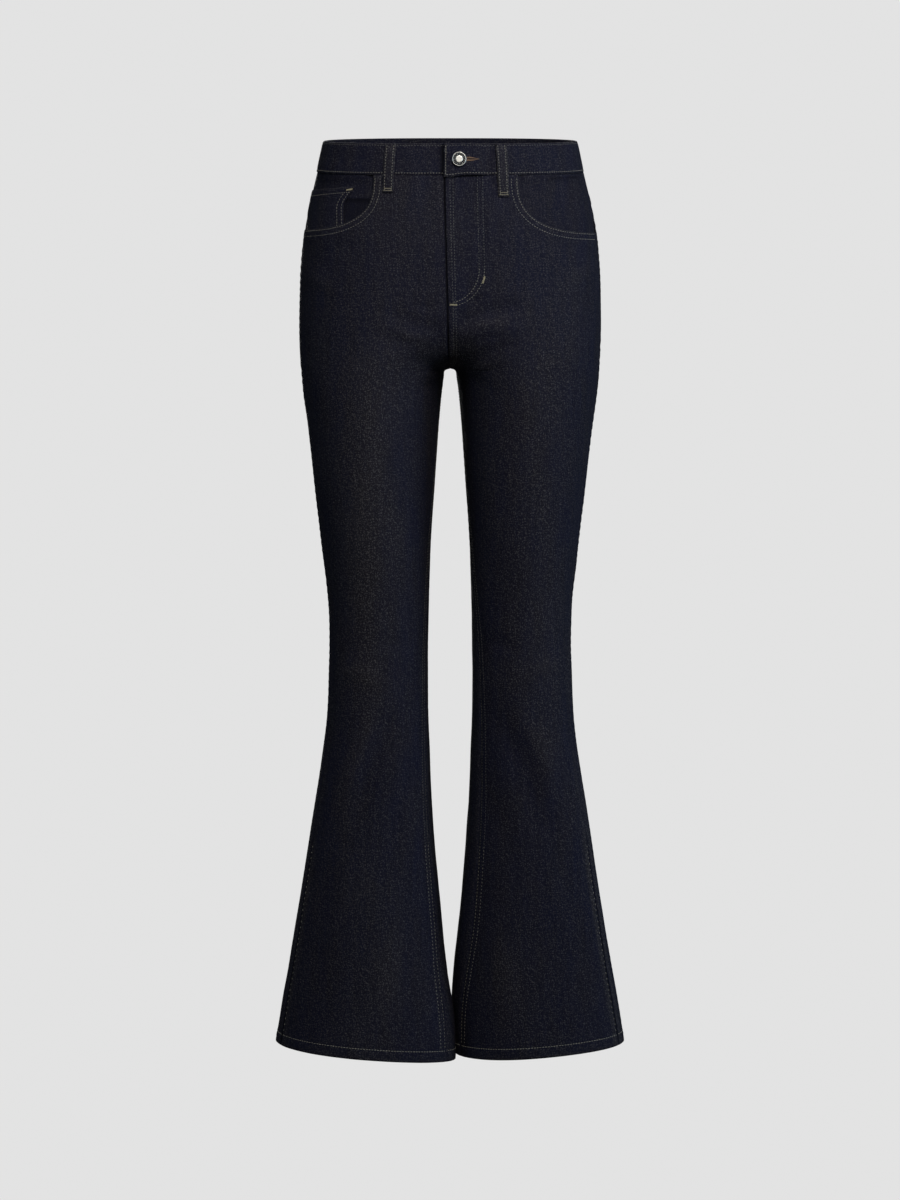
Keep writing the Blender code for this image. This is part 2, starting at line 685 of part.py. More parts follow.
def pocket_facing(body):
    """Make the facing that shows in a front pocket's opening."""
    run, z = front_grid(body)
    keep_rows = z[:, 0] >= FACING_BOTTOM - 0.1 * MM
    run = run[keep_rows][:, -7:]
    z = z[keep_rows][:, -7:]
    lift = -facing_depth(body, run, z)
    name = f"pocket_facing_{SIDE_NAMES[body.side]}"
    return layer(name, body, run, z, lift, WALL, material("denim inside", DENIM_INSIDE))


def coin_pocket(body):
    """Make the small pocket on the right facing, running under the front panel's edge.

    Its top edge falls towards the side, inside the facing's topmost cells.
    """
    run, z = front_grid(body)
    keep_rows = (z[:, 0] <= COIN_TOP + 0.1 * MM) & (z[:, 0] >= COIN_BOTTOM - 0.1 * MM)
    run = run[keep_rows][:, -5:]
    z = z[keep_rows][:, -5:]
    lift = -facing_depth(body, run, z) + COIN_GAP + COIN_WALL
    fall = COIN_FALL * (run[-1] - run[-1, 0]) / (run[-1, -1] - run[-1, 0]) / (z[-1] - z[-2])
    for grid in (run, z, lift):
        grid[-1] += (grid[-2] - grid[-1]) * fall
    run[:, -1] -= SEAM_GAP
    return layer("coin_pocket", body, run, z, lift, COIN_WALL, material("denim", DENIM))


def ring_place(bodies, q, z, lift):
    """Find a place on the waist ring: q runs from the middle, positive on the left half.

    It is measured at the origin's height, and stretches with the ring below and above.
    """
    stretch = bodies[LEFT].whole_run(z) / bodies[LEFT].whole_run(0.0)
    left = bodies[LEFT].lifted(np.abs(q) * stretch, z, lift)
    right = bodies[RIGHT].lifted(np.abs(q) * stretch, z, lift)
    return np.where((q >= 0.0)[..., None], left, right)


def waistband(bodies):
    """Make the waistband: one strip round the waist, its left end lapping over its right."""
    half = float(bodies[LEFT].whole_run(0.0))
    begin = -TURN - BAND_OVERHANG
    under_end = -TURN + BAND_UNDERLAP
    fine = np.linspace(begin, under_end + BAND_RAMP + 4.0 * MM, 12)
    coarse = np.linspace(fine[-1], 2.0 * half + under_end, 66)[1:]
    along = np.concatenate((fine, coarse))
    levels = np.array((WAIST_SEAM, -6.0 * MM, 6.0 * MM, WAIST_TOP - 1.0 * MM))
    levels_inner = np.array((WAIST_SEAM, -6.0 * MM, 6.0 * MM, WAIST_TOP))
    reach = np.where(along > half, along - 2.0 * half, along)
    over = 1.0 - smooth((along - under_end - 2.0 * MM) / BAND_RAMP)
    raised = BAND_LIFT + (BAND_WALL + SEAM_GAP) * over
    outer = []
    inner = []
    for z, z_inner in zip(levels, levels_inner):
        level = np.full_like(reach, z)
        outer.append(ring_place(bodies, reach, level, raised))
        level = np.full_like(reach, z_inner)
        inner.append(ring_place(bodies, reach, level, raised - BAND_WALL))
    top = ring_place(bodies, reach, np.full_like(reach, WAIST_TOP), raised - 0.8 * MM)
    outer.append(top)
    inner.append(0.5 * (top + inner[-1]))
    return wall("waistband", np.array(outer), np.array(inner), material("denim", DENIM))


def belt_loop(bodies, name, side, top_run, foot_run, drop=LOOP_DROP):
    """Make a belt loop: flat on the waistband's top and under its seam, clear between them."""
    body = bodies[side]
    foot = WAIST_SEAM - drop
    stations = (
        (foot, LAYER_GAP),
        (foot + 5.0 * MM, LAYER_GAP),
        (WAIST_SEAM - 5.0 * MM, BAND_LIFT + 1.6 * MM),
        (WAIST_SEAM + 4.0 * MM, BAND_LIFT + 2.4 * MM),
        (0.0, BAND_LIFT + 2.6 * MM),
        (WAIST_TOP - 9.0 * MM, BAND_LIFT + 2.2 * MM),
        (WAIST_TOP - 3.5 * MM, BAND_LIFT + LAYER_GAP),
        (WAIST_TOP - 0.8 * MM, BAND_LIFT + LAYER_GAP),
    )
    levels = np.array([level for level, _ in stations])
    clearances = np.array([clearance for _, clearance in stations])
    share = (levels - foot) / (WAIST_TOP - foot)
    middle = foot_run + (top_run - foot_run) * share
    run = middle[:, None] + LOOP_WIDTH * np.array((-0.5, 0.0, 0.5))
    z = np.repeat(levels[:, None], 3, axis=1)
    lift = np.repeat((clearances + LOOP_WALL)[:, None], 3, axis=1)
    return layer(name, body, run, z, lift, LOOP_WALL, material("denim", DENIM))


def belt_loops(bodies):
    """Make the five belt loops."""
    for side in (RIGHT, LEFT):
        top = LOOP_FRONT - side * TURN
        name = f"belt_loop_front_{SIDE_NAMES[side]}"
        drop = LOOP_DROP - (RIGHT_LOOP_RAISE if side == RIGHT else 0.0)
        belt_loop(bodies, name, side, top, top + LOOP_SPLAY, drop)
    back_top = float(bodies[LEFT].whole_run(WAIST_TOP))
    back_foot = float(bodies[LEFT].whole_run(WAIST_SEAM - LOOP_DROP))
    belt_loop(bodies, "belt_loop_center_back", LEFT, back_top, back_foot)
    for side in (RIGHT, LEFT):
        name = f"belt_loop_back_{SIDE_NAMES[side]}"
        belt_loop(bodies, name, side, back_top - LOOP_FROM_BACK, back_foot - LOOP_FROM_BACK)


def back_pocket(body):
    """Make a five-sided patch pocket on the seat, from the back panel's own cells moved out."""
    run, z = back_grid(body)
    keep = (z[:, 0] > BACK_POCKET_TOP - BACK_POCKET_SIDE - 0.05) & (z[:, 0] < -0.02)
    name = f"back_pocket_{SIDE_NAMES[body.side]}"
    lift = WALL + SEAM_GAP
    pocket = layer(name, body, run[keep], z[keep], lift, WALL, material("denim", DENIM))
    half = 0.5 * BACK_POCKET_WIDTH
    half_foot = 0.5 * BACK_POCKET_FOOT_WIDTH
    corners = (
        (-half, 0.0),
        (half, 0.0),
        (half_foot, -BACK_POCKET_SIDE),
        (0.0, -BACK_POCKET_SIDE - BACK_POCKET_TIP),
        (-half_foot, -BACK_POCKET_SIDE),
    )
    outline = []
    for x, drop in corners:
        tilted_x = BACK_POCKET_X + x - BACK_POCKET_TILT * drop
        outline.append((body.side * tilted_x, BACK_POCKET_TOP + drop + BACK_POCKET_TILT * x))
    trim(pocket, "INTERSECT", prism(f"{name}_outline", outline, 20.0 * MM, 200.0 * MM))


def fly_zip(body):
    """Make the closed zip's tape, behind the fly."""
    levels = np.linspace(ZIP_BOTTOM, ZIP_TOP, 9)
    z = np.repeat(levels[:, None], 5, axis=1)
    across = np.linspace(-1.0, 1.0, 5) * ZIP_HALF_WIDTH
    run = centre_front(body, z) + across
    return layer("fly_zip", body, run, z, -WALL - LAYER_GAP, WALL, material("zip tape", ZIP_TAPE))


def waist_button(bodies):
    """Turn the waist button and set it on the waistband's top layer."""
    profile = (
        (0.0, 0.0),
        (0.45, 0.0),
        (0.45, 0.28),
        (0.86, 0.30),
        (1.0, 0.46),
        (1.0, 0.66),
        (0.90, 0.92),
        (0.78, 0.98),
        (0.70, 0.84),
        (0.52, 0.80),
        (0.46, 1.0),
        (0.0, 1.0),
    )
    q = np.array(-TURN - BAND_OVERHANG + BUTTON_FROM_EDGE)
    seat = BAND_LIFT + BAND_WALL + SEAM_GAP + SEAM_GAP
    base = ring_place(bodies, q, np.array(BUTTON_LEVEL), np.array(seat))
    outward = bodies[LEFT].normal(np.abs(q), np.array(BUTTON_LEVEL))
    sideways = np.cross(outward, (0.0, 0.0, 1.0))
    sideways /= np.linalg.norm(sideways)
    upward = np.cross(sideways, outward)
    points = []
    for radius, height in profile[1:-1]:
        for k in range(BUTTON_SIDES):
            angle = math.tau * k / BUTTON_SIDES
            spoke = math.cos(angle) * sideways + math.sin(angle) * upward
            points.append(
                base + BUTTON_RADIUS * radius * spoke + BUTTON_HEIGHT * height * outward
            )
    rings = len(profile) - 2
    faces = [tuple(range(BUTTON_SIDES))]
    faces.append(tuple((rings - 1) * BUTTON_SIDES + k for k in range(BUTTON_SIDES)))
    for i in range(rings - 1):
        for k in range(BUTTON_SIDES):
            a = i * BUTTON_SIDES + k
            b = i * BUTTON_SIDES + (k + 1) % BUTTON_SIDES
            faces.append((a, b, b + BUTTON_SIDES, a + BUTTON_SIDES))
    return mesh_object("button", points, faces, material("button metal", BUTTON_METAL, 0.4, 1.0))


def main():
    """Build the jeans."""
    for old in list(bpy.data.objects):
        bpy.data.objects.remove(old, do_unlink=True)
    bodies = {side: HalfBody(side) for side in (LEFT, RIGHT)}
    for body in bodies.values():
        front_panel(body)
        back_panel(body)
        yoke(body)
        pocket_facing(body)
        back_pocket(body)
    coin_pocket(bodies[RIGHT])
    waistband(bodies)
    belt_loops(bodies)
    fly_zip(bodies[LEFT])
    waist_button(bodies)


main()
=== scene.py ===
"""Flared five-pocket jeans, dressed: denim shells, topstitching, zip, waist button and studio.

+Z up, the front faces -Y. Left and right are the wearer's, so the left leg is at +X. The garment is
laid out in millimetres, and becomes metres where a mesh is made.
"""

import logging
import math
from dataclasses import dataclass, field
from enum import Enum
from typing import Callable, NamedTuple, Sequence

import bpy
import numpy as np
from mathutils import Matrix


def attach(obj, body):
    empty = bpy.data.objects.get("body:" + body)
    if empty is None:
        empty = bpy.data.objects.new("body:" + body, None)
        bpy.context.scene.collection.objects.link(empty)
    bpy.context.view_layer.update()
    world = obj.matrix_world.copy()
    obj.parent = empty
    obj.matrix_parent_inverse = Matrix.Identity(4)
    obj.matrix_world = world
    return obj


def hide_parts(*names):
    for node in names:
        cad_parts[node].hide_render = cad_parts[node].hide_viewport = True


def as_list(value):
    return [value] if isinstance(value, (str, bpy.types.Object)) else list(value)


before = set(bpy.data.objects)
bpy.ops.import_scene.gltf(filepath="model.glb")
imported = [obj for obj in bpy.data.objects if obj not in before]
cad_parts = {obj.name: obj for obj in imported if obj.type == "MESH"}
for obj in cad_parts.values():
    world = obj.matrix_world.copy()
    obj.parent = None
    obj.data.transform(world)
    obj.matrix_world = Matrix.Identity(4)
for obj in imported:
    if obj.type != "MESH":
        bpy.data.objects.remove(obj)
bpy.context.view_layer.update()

LOG = logging.getLogger("jeans")
MM = 0.001
Array = np.ndarray
Faces = list[tuple[int, ...]]
Piece = bpy.types.Object
Material = bpy.types.Material
Socket = bpy.types.NodeSocket
Tree = bpy.types.NodeTree
Color = tuple[float, float, float]
Spot = tuple[float, float]

# Cloth layers, as in the solids
WALL = 1.2
SEAM_GAP = 0.3
LAYER_GAP = 0.45
HEM_HEIGHT = 14.0
HEM_WALL = 2.4

# Levels, on the side seam
WAIST_TOP = 17.4
WAIST_SEAM = -17.2
HEM = -1048.0
WAIST_SLOPE = 0.069
WAIST_SLOPE_END = -120.0
HEM_SLOPE = 0.083
HEM_SLOPE_START = -860.0

# Fork
FORK_Z = -245.3
FORK_Y = 20.0
FORK_ARCH = 4.0
FRONT_RISE = 72.0
BACK_RISE = 125.0
FORK_REACH = 80.0
GROOVE_SOFTNESS = 15.0
FULLNESS = 0.94

# Lie of the garment
TURN = 5.0
TURN_AT_FORK = 0.6
HEM_SWAY = 4.8
SWAY_START = -930.0
HEM_STEP = 3.5
HEM_LAP = 20.0
LAP_START = -880.0
LEG_TWIST = 12.0

# Yoke seam
YOKE_CENTRE = -91.0
YOKE_SIDE = -56.0

# Front pocket opening
POCKET_TOP_X = 81.5
POCKET_SIDE_X = 176.0
POCKET_BOTTOM = -88.3
POCKET_FULLNESS = 2.9
POCKET_MEAN_Y = -80.0

# Sewing
SEAM_ROWS = (2.0, 8.0)
PUCKER_PITCH = 9.0


class Side(Enum):
    """Half of the garment, and the sign of its x."""

    LEFT = 1
    RIGHT = -1

    @property
    def word(self) -> str:
        """Name the side as the solids do."""
        return self.name.lower()


class Face(Enum):
    """Front or back half of a section, and the sign of its y."""

    FRONT = -1
    BACK = 1


class Section(NamedTuple):
    """A level section of one half of the garment."""

    z: float
    side: float       # x of the outermost point
    inner: float      # x of the innermost point of the leg, past the middle where the hems lap
    front: float      # y of the foremost point
    back: float       # y of the rearmost point
    side_y: float     # y of the outermost point
    front_x: float    # x of the foremost point
    back_x: float     # x of the rearmost point
    outseam: float    # run of the outseam forward of the outermost point
    inseam: float     # run of the inseam forward of the innermost point


SECTIONS = tuple(Section(*row) for row in (
    (30, 143.6, 7, -90.5, 94, 0, 18, 22, 0, 0),
    (0, 149.9, 7, -93.5, 98.5, 1, 20, 26, 0, 0),
    (-22, 154.8, 7, -96, 103, 2, 23, 31, 0, 0),
    (-50, 161.8, 7, -98.5, 109.5, 4, 28, 38, 0, 0),
    (-85, 169, 7, -100.8, 119, 6, 35, 48, 0, 0),
    (-120, 172.8, 7, -102, 128, 8, 44, 58, 0, 0),
    (-165, 174.7, 7, -101.5, 133, 9, 57, 68, 0, 0),
    (-205, 175.1, 7, -100.5, 129, 8, 71, 77, 2, 0),
    (-245, 173.2, 7, -98.5, 116, 6, 85, 86, 4, 0),
    (-270, 170.9, 9.9, -96.5, 107.5, 5, 89, 90, 5, 2),
    (-305, 166.4, 13.4, -93, 99, 4, 90, 91, 7, 6),
    (-375, 158.5, 18.2, -86, 87, 3, 88, 89, 11, 12),
    (-470, 147.6, 23.6, -74, 74, 2, 85, 86, 16, 18),
    (-515, 142.9, 25, -67, 69, 2, 84, 84, 18, 20),
    (-562, 141.7, 25.9, -61.5, 67, 3, 83.5, 83.5, 19, 22),
    (-610, 143, 26, -58.5, 68.5, 4, 84, 84, 21, 23),
    (-657, 145.6, 25.4, -57, 71, 4, 85.5, 85.5, 22, 24),
    (-704, 151.4, 24, -55.5, 73.5, 4, 87.5, 87.5, 23, 25),
    (-752, 158.8, 21.7, -54.5, 75.5, 4, 90.5, 90.5, 24, 26),
    (-847, 173.4, 14.4, -55, 78, 4, 94, 94, 25, 27),
    (-943, 189.6, 4.7, -57, 79, 4, 96.5, 97.5, 26, 27),
    (-990, 197.5, -0.9, -58.2, 79.5, 4, 97.5, 99.5, 26, 26),
    (-1060, 208.2, -2, -61, 80, 4, 100.5, 103.5, 26, 24),
))


class Fold(NamedTuple):
    """A soft fold, seen square on: straight as part of the form, or bowed as a finer crease."""

    side: int         # +1 wearer's left, -1 wearer's right
    face: int         # -1 front, +1 back
    x0: float
    z0: float
    x1: float
    z1: float
    height: float     # proud if positive, hollow if negative
    reach: float      # how far it fades to each side
    bow: float = 0.0  # how far its middle bows upward


FOLDS = tuple(Fold(*row) for row in (
    (1, -1, 18, -186, 70, -172, -2.6, 9),
    (1, -1, 16, -204, 78, -196, 1.6, 10),
    (1, -1, 14, -232, 66, -218, -2.2, 9),
    (-1, -1, 20, -196, 62, -182, -1.6, 9),
    (-1, -1, 24, -226, 70, -210, -1.4, 10),
    (1, -1, 60, -650, 105, -770, -2.4, 18),
    (-1, -1, 78, -660, 122, -790, -2.4, 18),
    (1, -1, 112, -700, 150, -900, 2, 22),
    (-1, -1, 118, -720, 152, -900, 2, 22),
    (1, 1, 50, -570, 120, -590, -3, 14),
    (-1, 1, 48, -576, 118, -562, -3, 14),
    (1, 1, 55, -615, 115, -640, -2.4, 16),
    (-1, 1, 52, -628, 118, -610, -2.4, 16),
    (1, 1, 40, -262, 120, -284, -2.6, 13),
    (-1, 1, 42, -268, 118, -280, -2.6, 13),
))

CREASES = tuple(Fold(*row) for row in (
    # drag lines from the fork over the fronts of the thighs
    (1, -1, 44, -160, 12, -168, -1.4, 5, 2),
    (1, -1, 20, -192, 74, -184, 1.6, 5, -3),
    (1, -1, 26, -214, 60, -204, -1.4, 4.5, 2),
    (1, -1, 20, -242, 52, -236, 1.3, 5, -3),
    (1, -1, 10, -256, 44, -262, -1.4, 6, 3),
    (-1, -1, 14, -178, 52, -170, -1.1, 5, 2),
    (-1, -1, 24, -208, 66, -198, 1.1, 5, -3),
    (-1, -1, 16, -240, 58, -232, -1.3, 5.5, 3),
    (-1, -1, 12, -262, 40, -270, -1.1, 6, 3),
    # beside the front pockets
    (-1, -1, 76, -45, 64, -54, -1.5, 2.2, 1),
    (-1, -1, 74, -50, 60, -60, 1.1, 2.6, 1),
    (1, -1, 64, -60, 78, -70, -0.5, 4, 1),
    (1, -1, 100, -100, 150, -110, -0.8, 8, 4),
    (-1, -1, 96, -104, 150, -116, -0.8, 8, 4),
    # outer hips
    (1, -1, 130, -150, 168, -128, 0.8, 9, 3),
    (-1, -1, 128, -160, 168, -136, 1.3, 9, 3),
    # knees and shins
    (1, -1, 36, -560, 84, -575, -1.3, 9, 5),
    (-1, -1, 40, -572, 90, -560, -1.3, 9, 5),
    (1, -1, 84, -600, 134, -585, 1.1, 10, 4),
    (-1, -1, 80, -610, 132, -590, 1.2, 10, 4),
    (1, -1, 52, -650, 98, -740, -1.3, 11, 6),
    (1, -1, 72, -636, 120, -722, 0.8, 12, 6),
    (1, -1, 40, -724, 70, -816, -1.3, 12, 4),
    (-1, -1, 64, -640, 108, -780, -2.2, 10, 5),
    (-1, -1, 84, -640, 126, -760, 1.2, 12, 4),
    (1, -1, 120, -780, 160, -960, -2, 14, 4),
    (-1, -1, 124, -790, 164, -970, -2, 14, 4),
    (1, -1, 60, -880, 66, -1020, 1.7, 16, 2),
    (-1, -1, 64, -880, 70, -1020, 1.7, 16, 2),
    # under the seat
    (1, 1, 26, -236, 96, -250, 1.8, 7, 5),
    (-1, 1, 28, -240, 98, -252, 1.8, 7, 5),
    (1, 1, 30, -288, 96, -300, 1.5, 8, 6),
    (-1, 1, 30, -292, 98, -298, 1.5, 8, 6),
    (1, 1, 34, -312, 84, -326, -1.4, 8, 5),
    (-1, 1, 34, -318, 86, -324, -1.4, 8, 5),
    (1, 1, 128, -232, 166, -206, -1.5, 8, 4),
    (-1, 1, 128, -236, 166, -210, -1.5, 8, 4),
    # backs of the knees and calves
    (1, 1, 40, -546, 112, -558, 1.7, 8, 4),
    (-1, 1, 42, -552, 110, -544, 1.7, 8, 4),
    (1, 1, 56, -594, 128, -604, 1.8, 8, -4),
    (-1, 1, 54, -598, 126, -586, 1.8, 8, -4),
    (1, 1, 60, -660, 112, -690, 1.5, 10, 4),
    (-1, 1, 60, -664, 112, -650, 1.5, 10, 4),
    (1, 1, 96, -740, 132, -900, -2, 16, 3),
    (-1, 1, 94, -750, 134, -910, -2, 16, 3),
    (1, 1, 60, -860, 62, -1010, 1.8, 18, 2),
    (-1, 1, 62, -850, 66, -1010, 1.8, 18, 2),
))


def smooth(value: Array | float, reach: float = 1.0) -> Array:
    """Rise from 0 to 1 with level ends as the value goes from 0 to its reach."""
    value = np.clip(value / reach, 0.0, 1.0)
    return value * value * (3.0 - 2.0 * value)


def bell(value: Array | float, width: float) -> Array:
    """Fall from 1 where the value is 0, to a third at a width to each side."""
    return np.exp(-((value / width) ** 2))


def rounded(at: Array, places: Array, values: Array, reach: float) -> Array:
    """Read a line through given points, its corners rounded over a reach."""
    shifts = np.linspace(-reach, reach, 5)
    return sum(np.interp(at + shift, places, values) for shift in shifts) / len(shifts)


def unit(vectors: Array) -> Array:
    """Scale vectors to length 1."""
    return vectors / np.maximum(np.linalg.norm(vectors, axis=-1, keepdims=True), 1e-12)


def column(name: str, z: Array | float) -> Array:
    """Read one column of the section table at heights, on a smooth curve through the rows."""
    heights, values = (np.array([getattr(row, key) for row in reversed(SECTIONS)], float)
                       for key in ("z", name))
    slopes = np.gradient(values, heights)
    i = np.clip(np.searchsorted(heights, z) - 1, 0, len(heights) - 2)
    step = heights[i + 1] - heights[i]
    t = (z - heights[i]) / step
    t2, t3 = t * t, t * t * t
    return ((2 * t3 - 3 * t2 + 1) * values[i] + (t3 - 2 * t2 + t) * step * slopes[i]
            + (3 * t2 - 2 * t3) * values[i + 1] + (t3 - t2) * step * slopes[i + 1])


def turn_at(z: Array | float) -> Array:
    """Tell how far the centre front lies to the wearer's right at a height."""
    share = smooth(z - FORK_Z, WAIST_SEAM - FORK_Z)
    return np.where(z > FORK_Z, TURN_AT_FORK + (TURN - TURN_AT_FORK) * share, 0.0)


NOISE_SIZE = 64
NOISE = np.random.default_rng(41).uniform(-1.0, 1.0, (NOISE_SIZE, NOISE_SIZE))


def undulation(u: Array | float, v: Array | float) -> Array:
    """Read smooth noise, from about -1 to 1, at a place given in cells."""
    u0, v0 = np.floor(u).astype(int), np.floor(v).astype(int)
    fu, fv = smooth(u - u0), smooth(v - v0)
    a, b, c, d = (NOISE[(u0 + i) % NOISE_SIZE, (v0 + j) % NOISE_SIZE]
                  for i, j in ((0, 0), (1, 0), (0, 1), (1, 1)))
    return (a * (1 - fu) + b * fu) * (1 - fv) + (c * (1 - fu) + d * fu) * fv


@dataclass
class HalfForm:
    """The surface of one half of the garment, read by run and height.

    A run goes along the level section from the centre front, or the inside of the leg, round the
    side to the centre back.
    """

    side: Side
    samples: int = 129
    level_step: float = 2.5
    fork_zone: float = 30.0
    lowest: float = -1062.0
    highest: float = 30.1
    sign: int = field(init=False)
    levels: Array = field(init=False)
    halves: dict[Face, Array] = field(init=False)
    runs: dict[Face, Array] = field(init=False)
    grains: dict[Face, Array] = field(init=False)

    def __post_init__(self) -> None:
        """Trace all the sections."""
        self.sign = self.side.value
        near_fork = FORK_Z + self.fork_zone * np.linspace(-1.0, 1.0, 61) ** 3 - 1e-3
        wide = np.arange(self.lowest, self.highest, self.level_step)
        wide = wide[np.abs(wide - FORK_Z) > self.fork_zone]
        self.levels = np.sort(np.concatenate((near_fork, wide)))
        self.halves, self.runs = {}, {}
        for face, curves in zip(Face, self._sections()):
            even = [self._even(curve) for curve in curves]
            self.halves[face] = np.array(
                [self._folded(curve, z, face) for (curve, _), z in zip(even, self.levels)])
            self.runs[face] = np.array([run for _, run in even])
        grain_x = column("front_x", np.minimum(self.levels, FORK_Z))
        share = np.linspace(0.0, 1.0, self.samples)
        self.grains = {face: self.runs[face] * np.array(
            [np.interp(x, row[:, 0], share) for x, row in zip(grain_x, self.halves[face])])
            for face in Face}
        self.grains[Face.BACK] = sum(self.runs.values()) - self.grains[Face.BACK]

    def _sections(self) -> tuple[Array, Array]:
        """Trace the front and back halves of every level section, from the inside to the side."""
        z = self.levels
        step = self.sign * HEM_STEP * smooth(FORK_Z - z, FORK_Z - HEM)
        side = (column("side", z), column("side_y", z))
        leg = z < FORK_Z
        nearest = SEAM_GAP / 2.0
        arch = np.sqrt(1.0 - (1.0 - np.clip((FORK_Z - z) / FORK_ARCH, 0.0, 1.0)) ** 2)
        sway = HEM_SWAY * smooth(SWAY_START - z, SWAY_START - HEM)
        inner_x = column("inner", z) * arch
        inner_x = np.where(z > SWAY_START, np.maximum(nearest, inner_x), inner_x)
        inner_x = np.where(leg, inner_x + self.sign * sway, nearest)
        nearness = np.exp(np.minimum(z - FORK_Z, 0.0) / FORK_REACH)
        lap = self.sign * HEM_LAP * smooth(LAP_START - z, LAP_START - HEM)
        inner_y = side[1] + (FORK_Y - side[1]) * nearness + lap
        base = np.maximum(column("inner", z), nearest) * smooth(FORK_Z + 10.0 - z, 32.0)
        base = np.where(z > FORK_Z - 30.0, base, inner_x)
        halves = []
        for face, rise in (("front", FRONT_RISE), ("back", BACK_RISE)):
            peak = (column(f"{face}_x", z), column(face, z) + step)
            opening = np.where(leg, 0.0, np.minimum(1.0, (z - FORK_Z) / rise))
            softness = GROOVE_SOFTNESS / peak[0] * smooth(4.0 * opening)
            halves.append(self._half_oval((inner_x, inner_y, base), peak, side, opening, softness))
        return halves[0], halves[1]

    def _half_oval(self, inside: Sequence[Array], peak: Sequence[Array], side: Sequence[Array],
                   opening: Array, softness: Array) -> Array:
        """Trace half of every section, from the inside over its peak to the side.

        Args:
            inside: x and y of the inside, and the x that the curve near it keeps to, a value to
                each level, as are the rest.
            peak: x and y of the foremost or rearmost point.
            side: x and y of the outermost point.
            opening: 0 for a leg's closed oval, up to 1 where the section is flat at the middle.
            softness: How round the groove between the halves is.

        Returns:
            Points, levels by samples by 2.
        """
        angle = np.linspace(0.0, math.pi / 2.0, self.samples)
        left = 1.0 - np.cos(angle)
        first_x, first_y, base, peak_x, peak_y, side_x, side_y, opening, softness = (
            value[:, None] for value in (*inside, *peak, *side, opening, softness))
        share = 1.0 - np.hypot(left, softness)
        eased = opening * (1.0 - np.exp(-opening / (0.22 * (1.0 - share) + 1e-3)))
        closed = np.sqrt(1.0 - ((1.0 - eased) * share) ** 2)
        inner_x = base + (peak_x - base) * left + (first_x - base) * np.exp(-left / 0.07)
        inner_y = first_y + (peak_y - first_y) * closed
        outer_x = peak_x + (side_x - peak_x) * np.sin(angle) ** FULLNESS
        outer_y = side_y + (peak_y - side_y) * np.cos(angle) ** FULLNESS
        return np.stack((np.concatenate((inner_x, outer_x[:, 1:]), axis=1),
                         np.concatenate((inner_y, outer_y[:, 1:]), axis=1)), axis=-1)

    def _even(self, curve: Array) -> tuple[Array, float]:
        """Space a curve's points evenly along it, and give its length."""
        run = np.concatenate(([0.0], np.cumsum(np.hypot(*np.diff(curve, axis=0).T))))
        even = np.linspace(0.0, run[-1], self.samples)
        return np.column_stack([np.interp(even, run, row) for row in curve.T]), float(run[-1])

    def _folded(self, curve: Array, z: float, face: Face) -> Array:
        """Move a section's points in and out over the folds that it crosses."""
        middle = curve[-1, 1]
        for fold in FOLDS:
            if (fold.side, fold.face) != (self.sign, face.value):
                continue
            start = np.array((fold.x0, fold.z0), float)
            along = np.array((fold.x1, fold.z1)) - start
            place = np.column_stack((curve[:, 0], np.full(len(curve), z))) - start
            share = np.clip(place @ along / (along @ along), 0.0, 1.0)
            gap = place - share[:, None] * along
            nearness = np.exp(-np.sum(gap**2, axis=1) / fold.reach**2)
            facing = np.clip(np.abs(curve[:, 1] - middle) / 40.0, 0.0, 1.0)
            curve[:, 1] += face.value * fold.height * nearness * facing
        return curve

    def front_run(self, z: Array | float) -> Array:
        """Give the run from the centre front, or the inside of the leg, to the side."""
        return np.interp(z, self.levels, self.runs[Face.FRONT])

    def whole_run(self, z: Array | float) -> Array:
        """Give the run from the centre front round the side to the centre back."""
        return self.front_run(z) + np.interp(z, self.levels, self.runs[Face.BACK])

    def across(self, run: Array, z: Array, face: Face) -> Array:
        """Measure across the cloth from the straight thread down the middle of the leg."""
        return run - np.interp(z, self.levels, self.grains[face])

    def _read(self, table: Array, share: Array, z: Array) -> Array:
        """Read a face's points at shares of its run and heights."""
        level = np.clip(np.searchsorted(self.levels, z) - 1, 0, len(self.levels) - 2)
        low = self.levels[level]
        blend = ((z - low) / (self.levels[level + 1] - low))[..., None]
        place = np.clip(share, 0.0, 1.0) * (self.samples - 1)
        cell = np.clip(place.astype(int), 0, self.samples - 2)
        part = (place - cell)[..., None]
        lower, upper = (table[row, cell] * (1 - part) + table[row, cell + 1] * part
                        for row in (level, level + 1))
        return lower * (1 - blend) + upper * blend

    def _wrapped(self, run: Array, z: Array) -> tuple[Array, Array]:
        """Bring runs past the centre lines back, and tell which are mirrored over the middle."""
        whole = self.whole_run(z)
        leg, before, beyond = z < FORK_Z, run < 0.0, run > whole
        on_leg = np.where(before, run + whole, np.where(beyond, run - whole, run))
        on_body = np.where(before, -run, np.where(beyond, 2.0 * whole - run, run))
        return np.where(leg, on_leg, on_body), ~leg & (before | beyond)

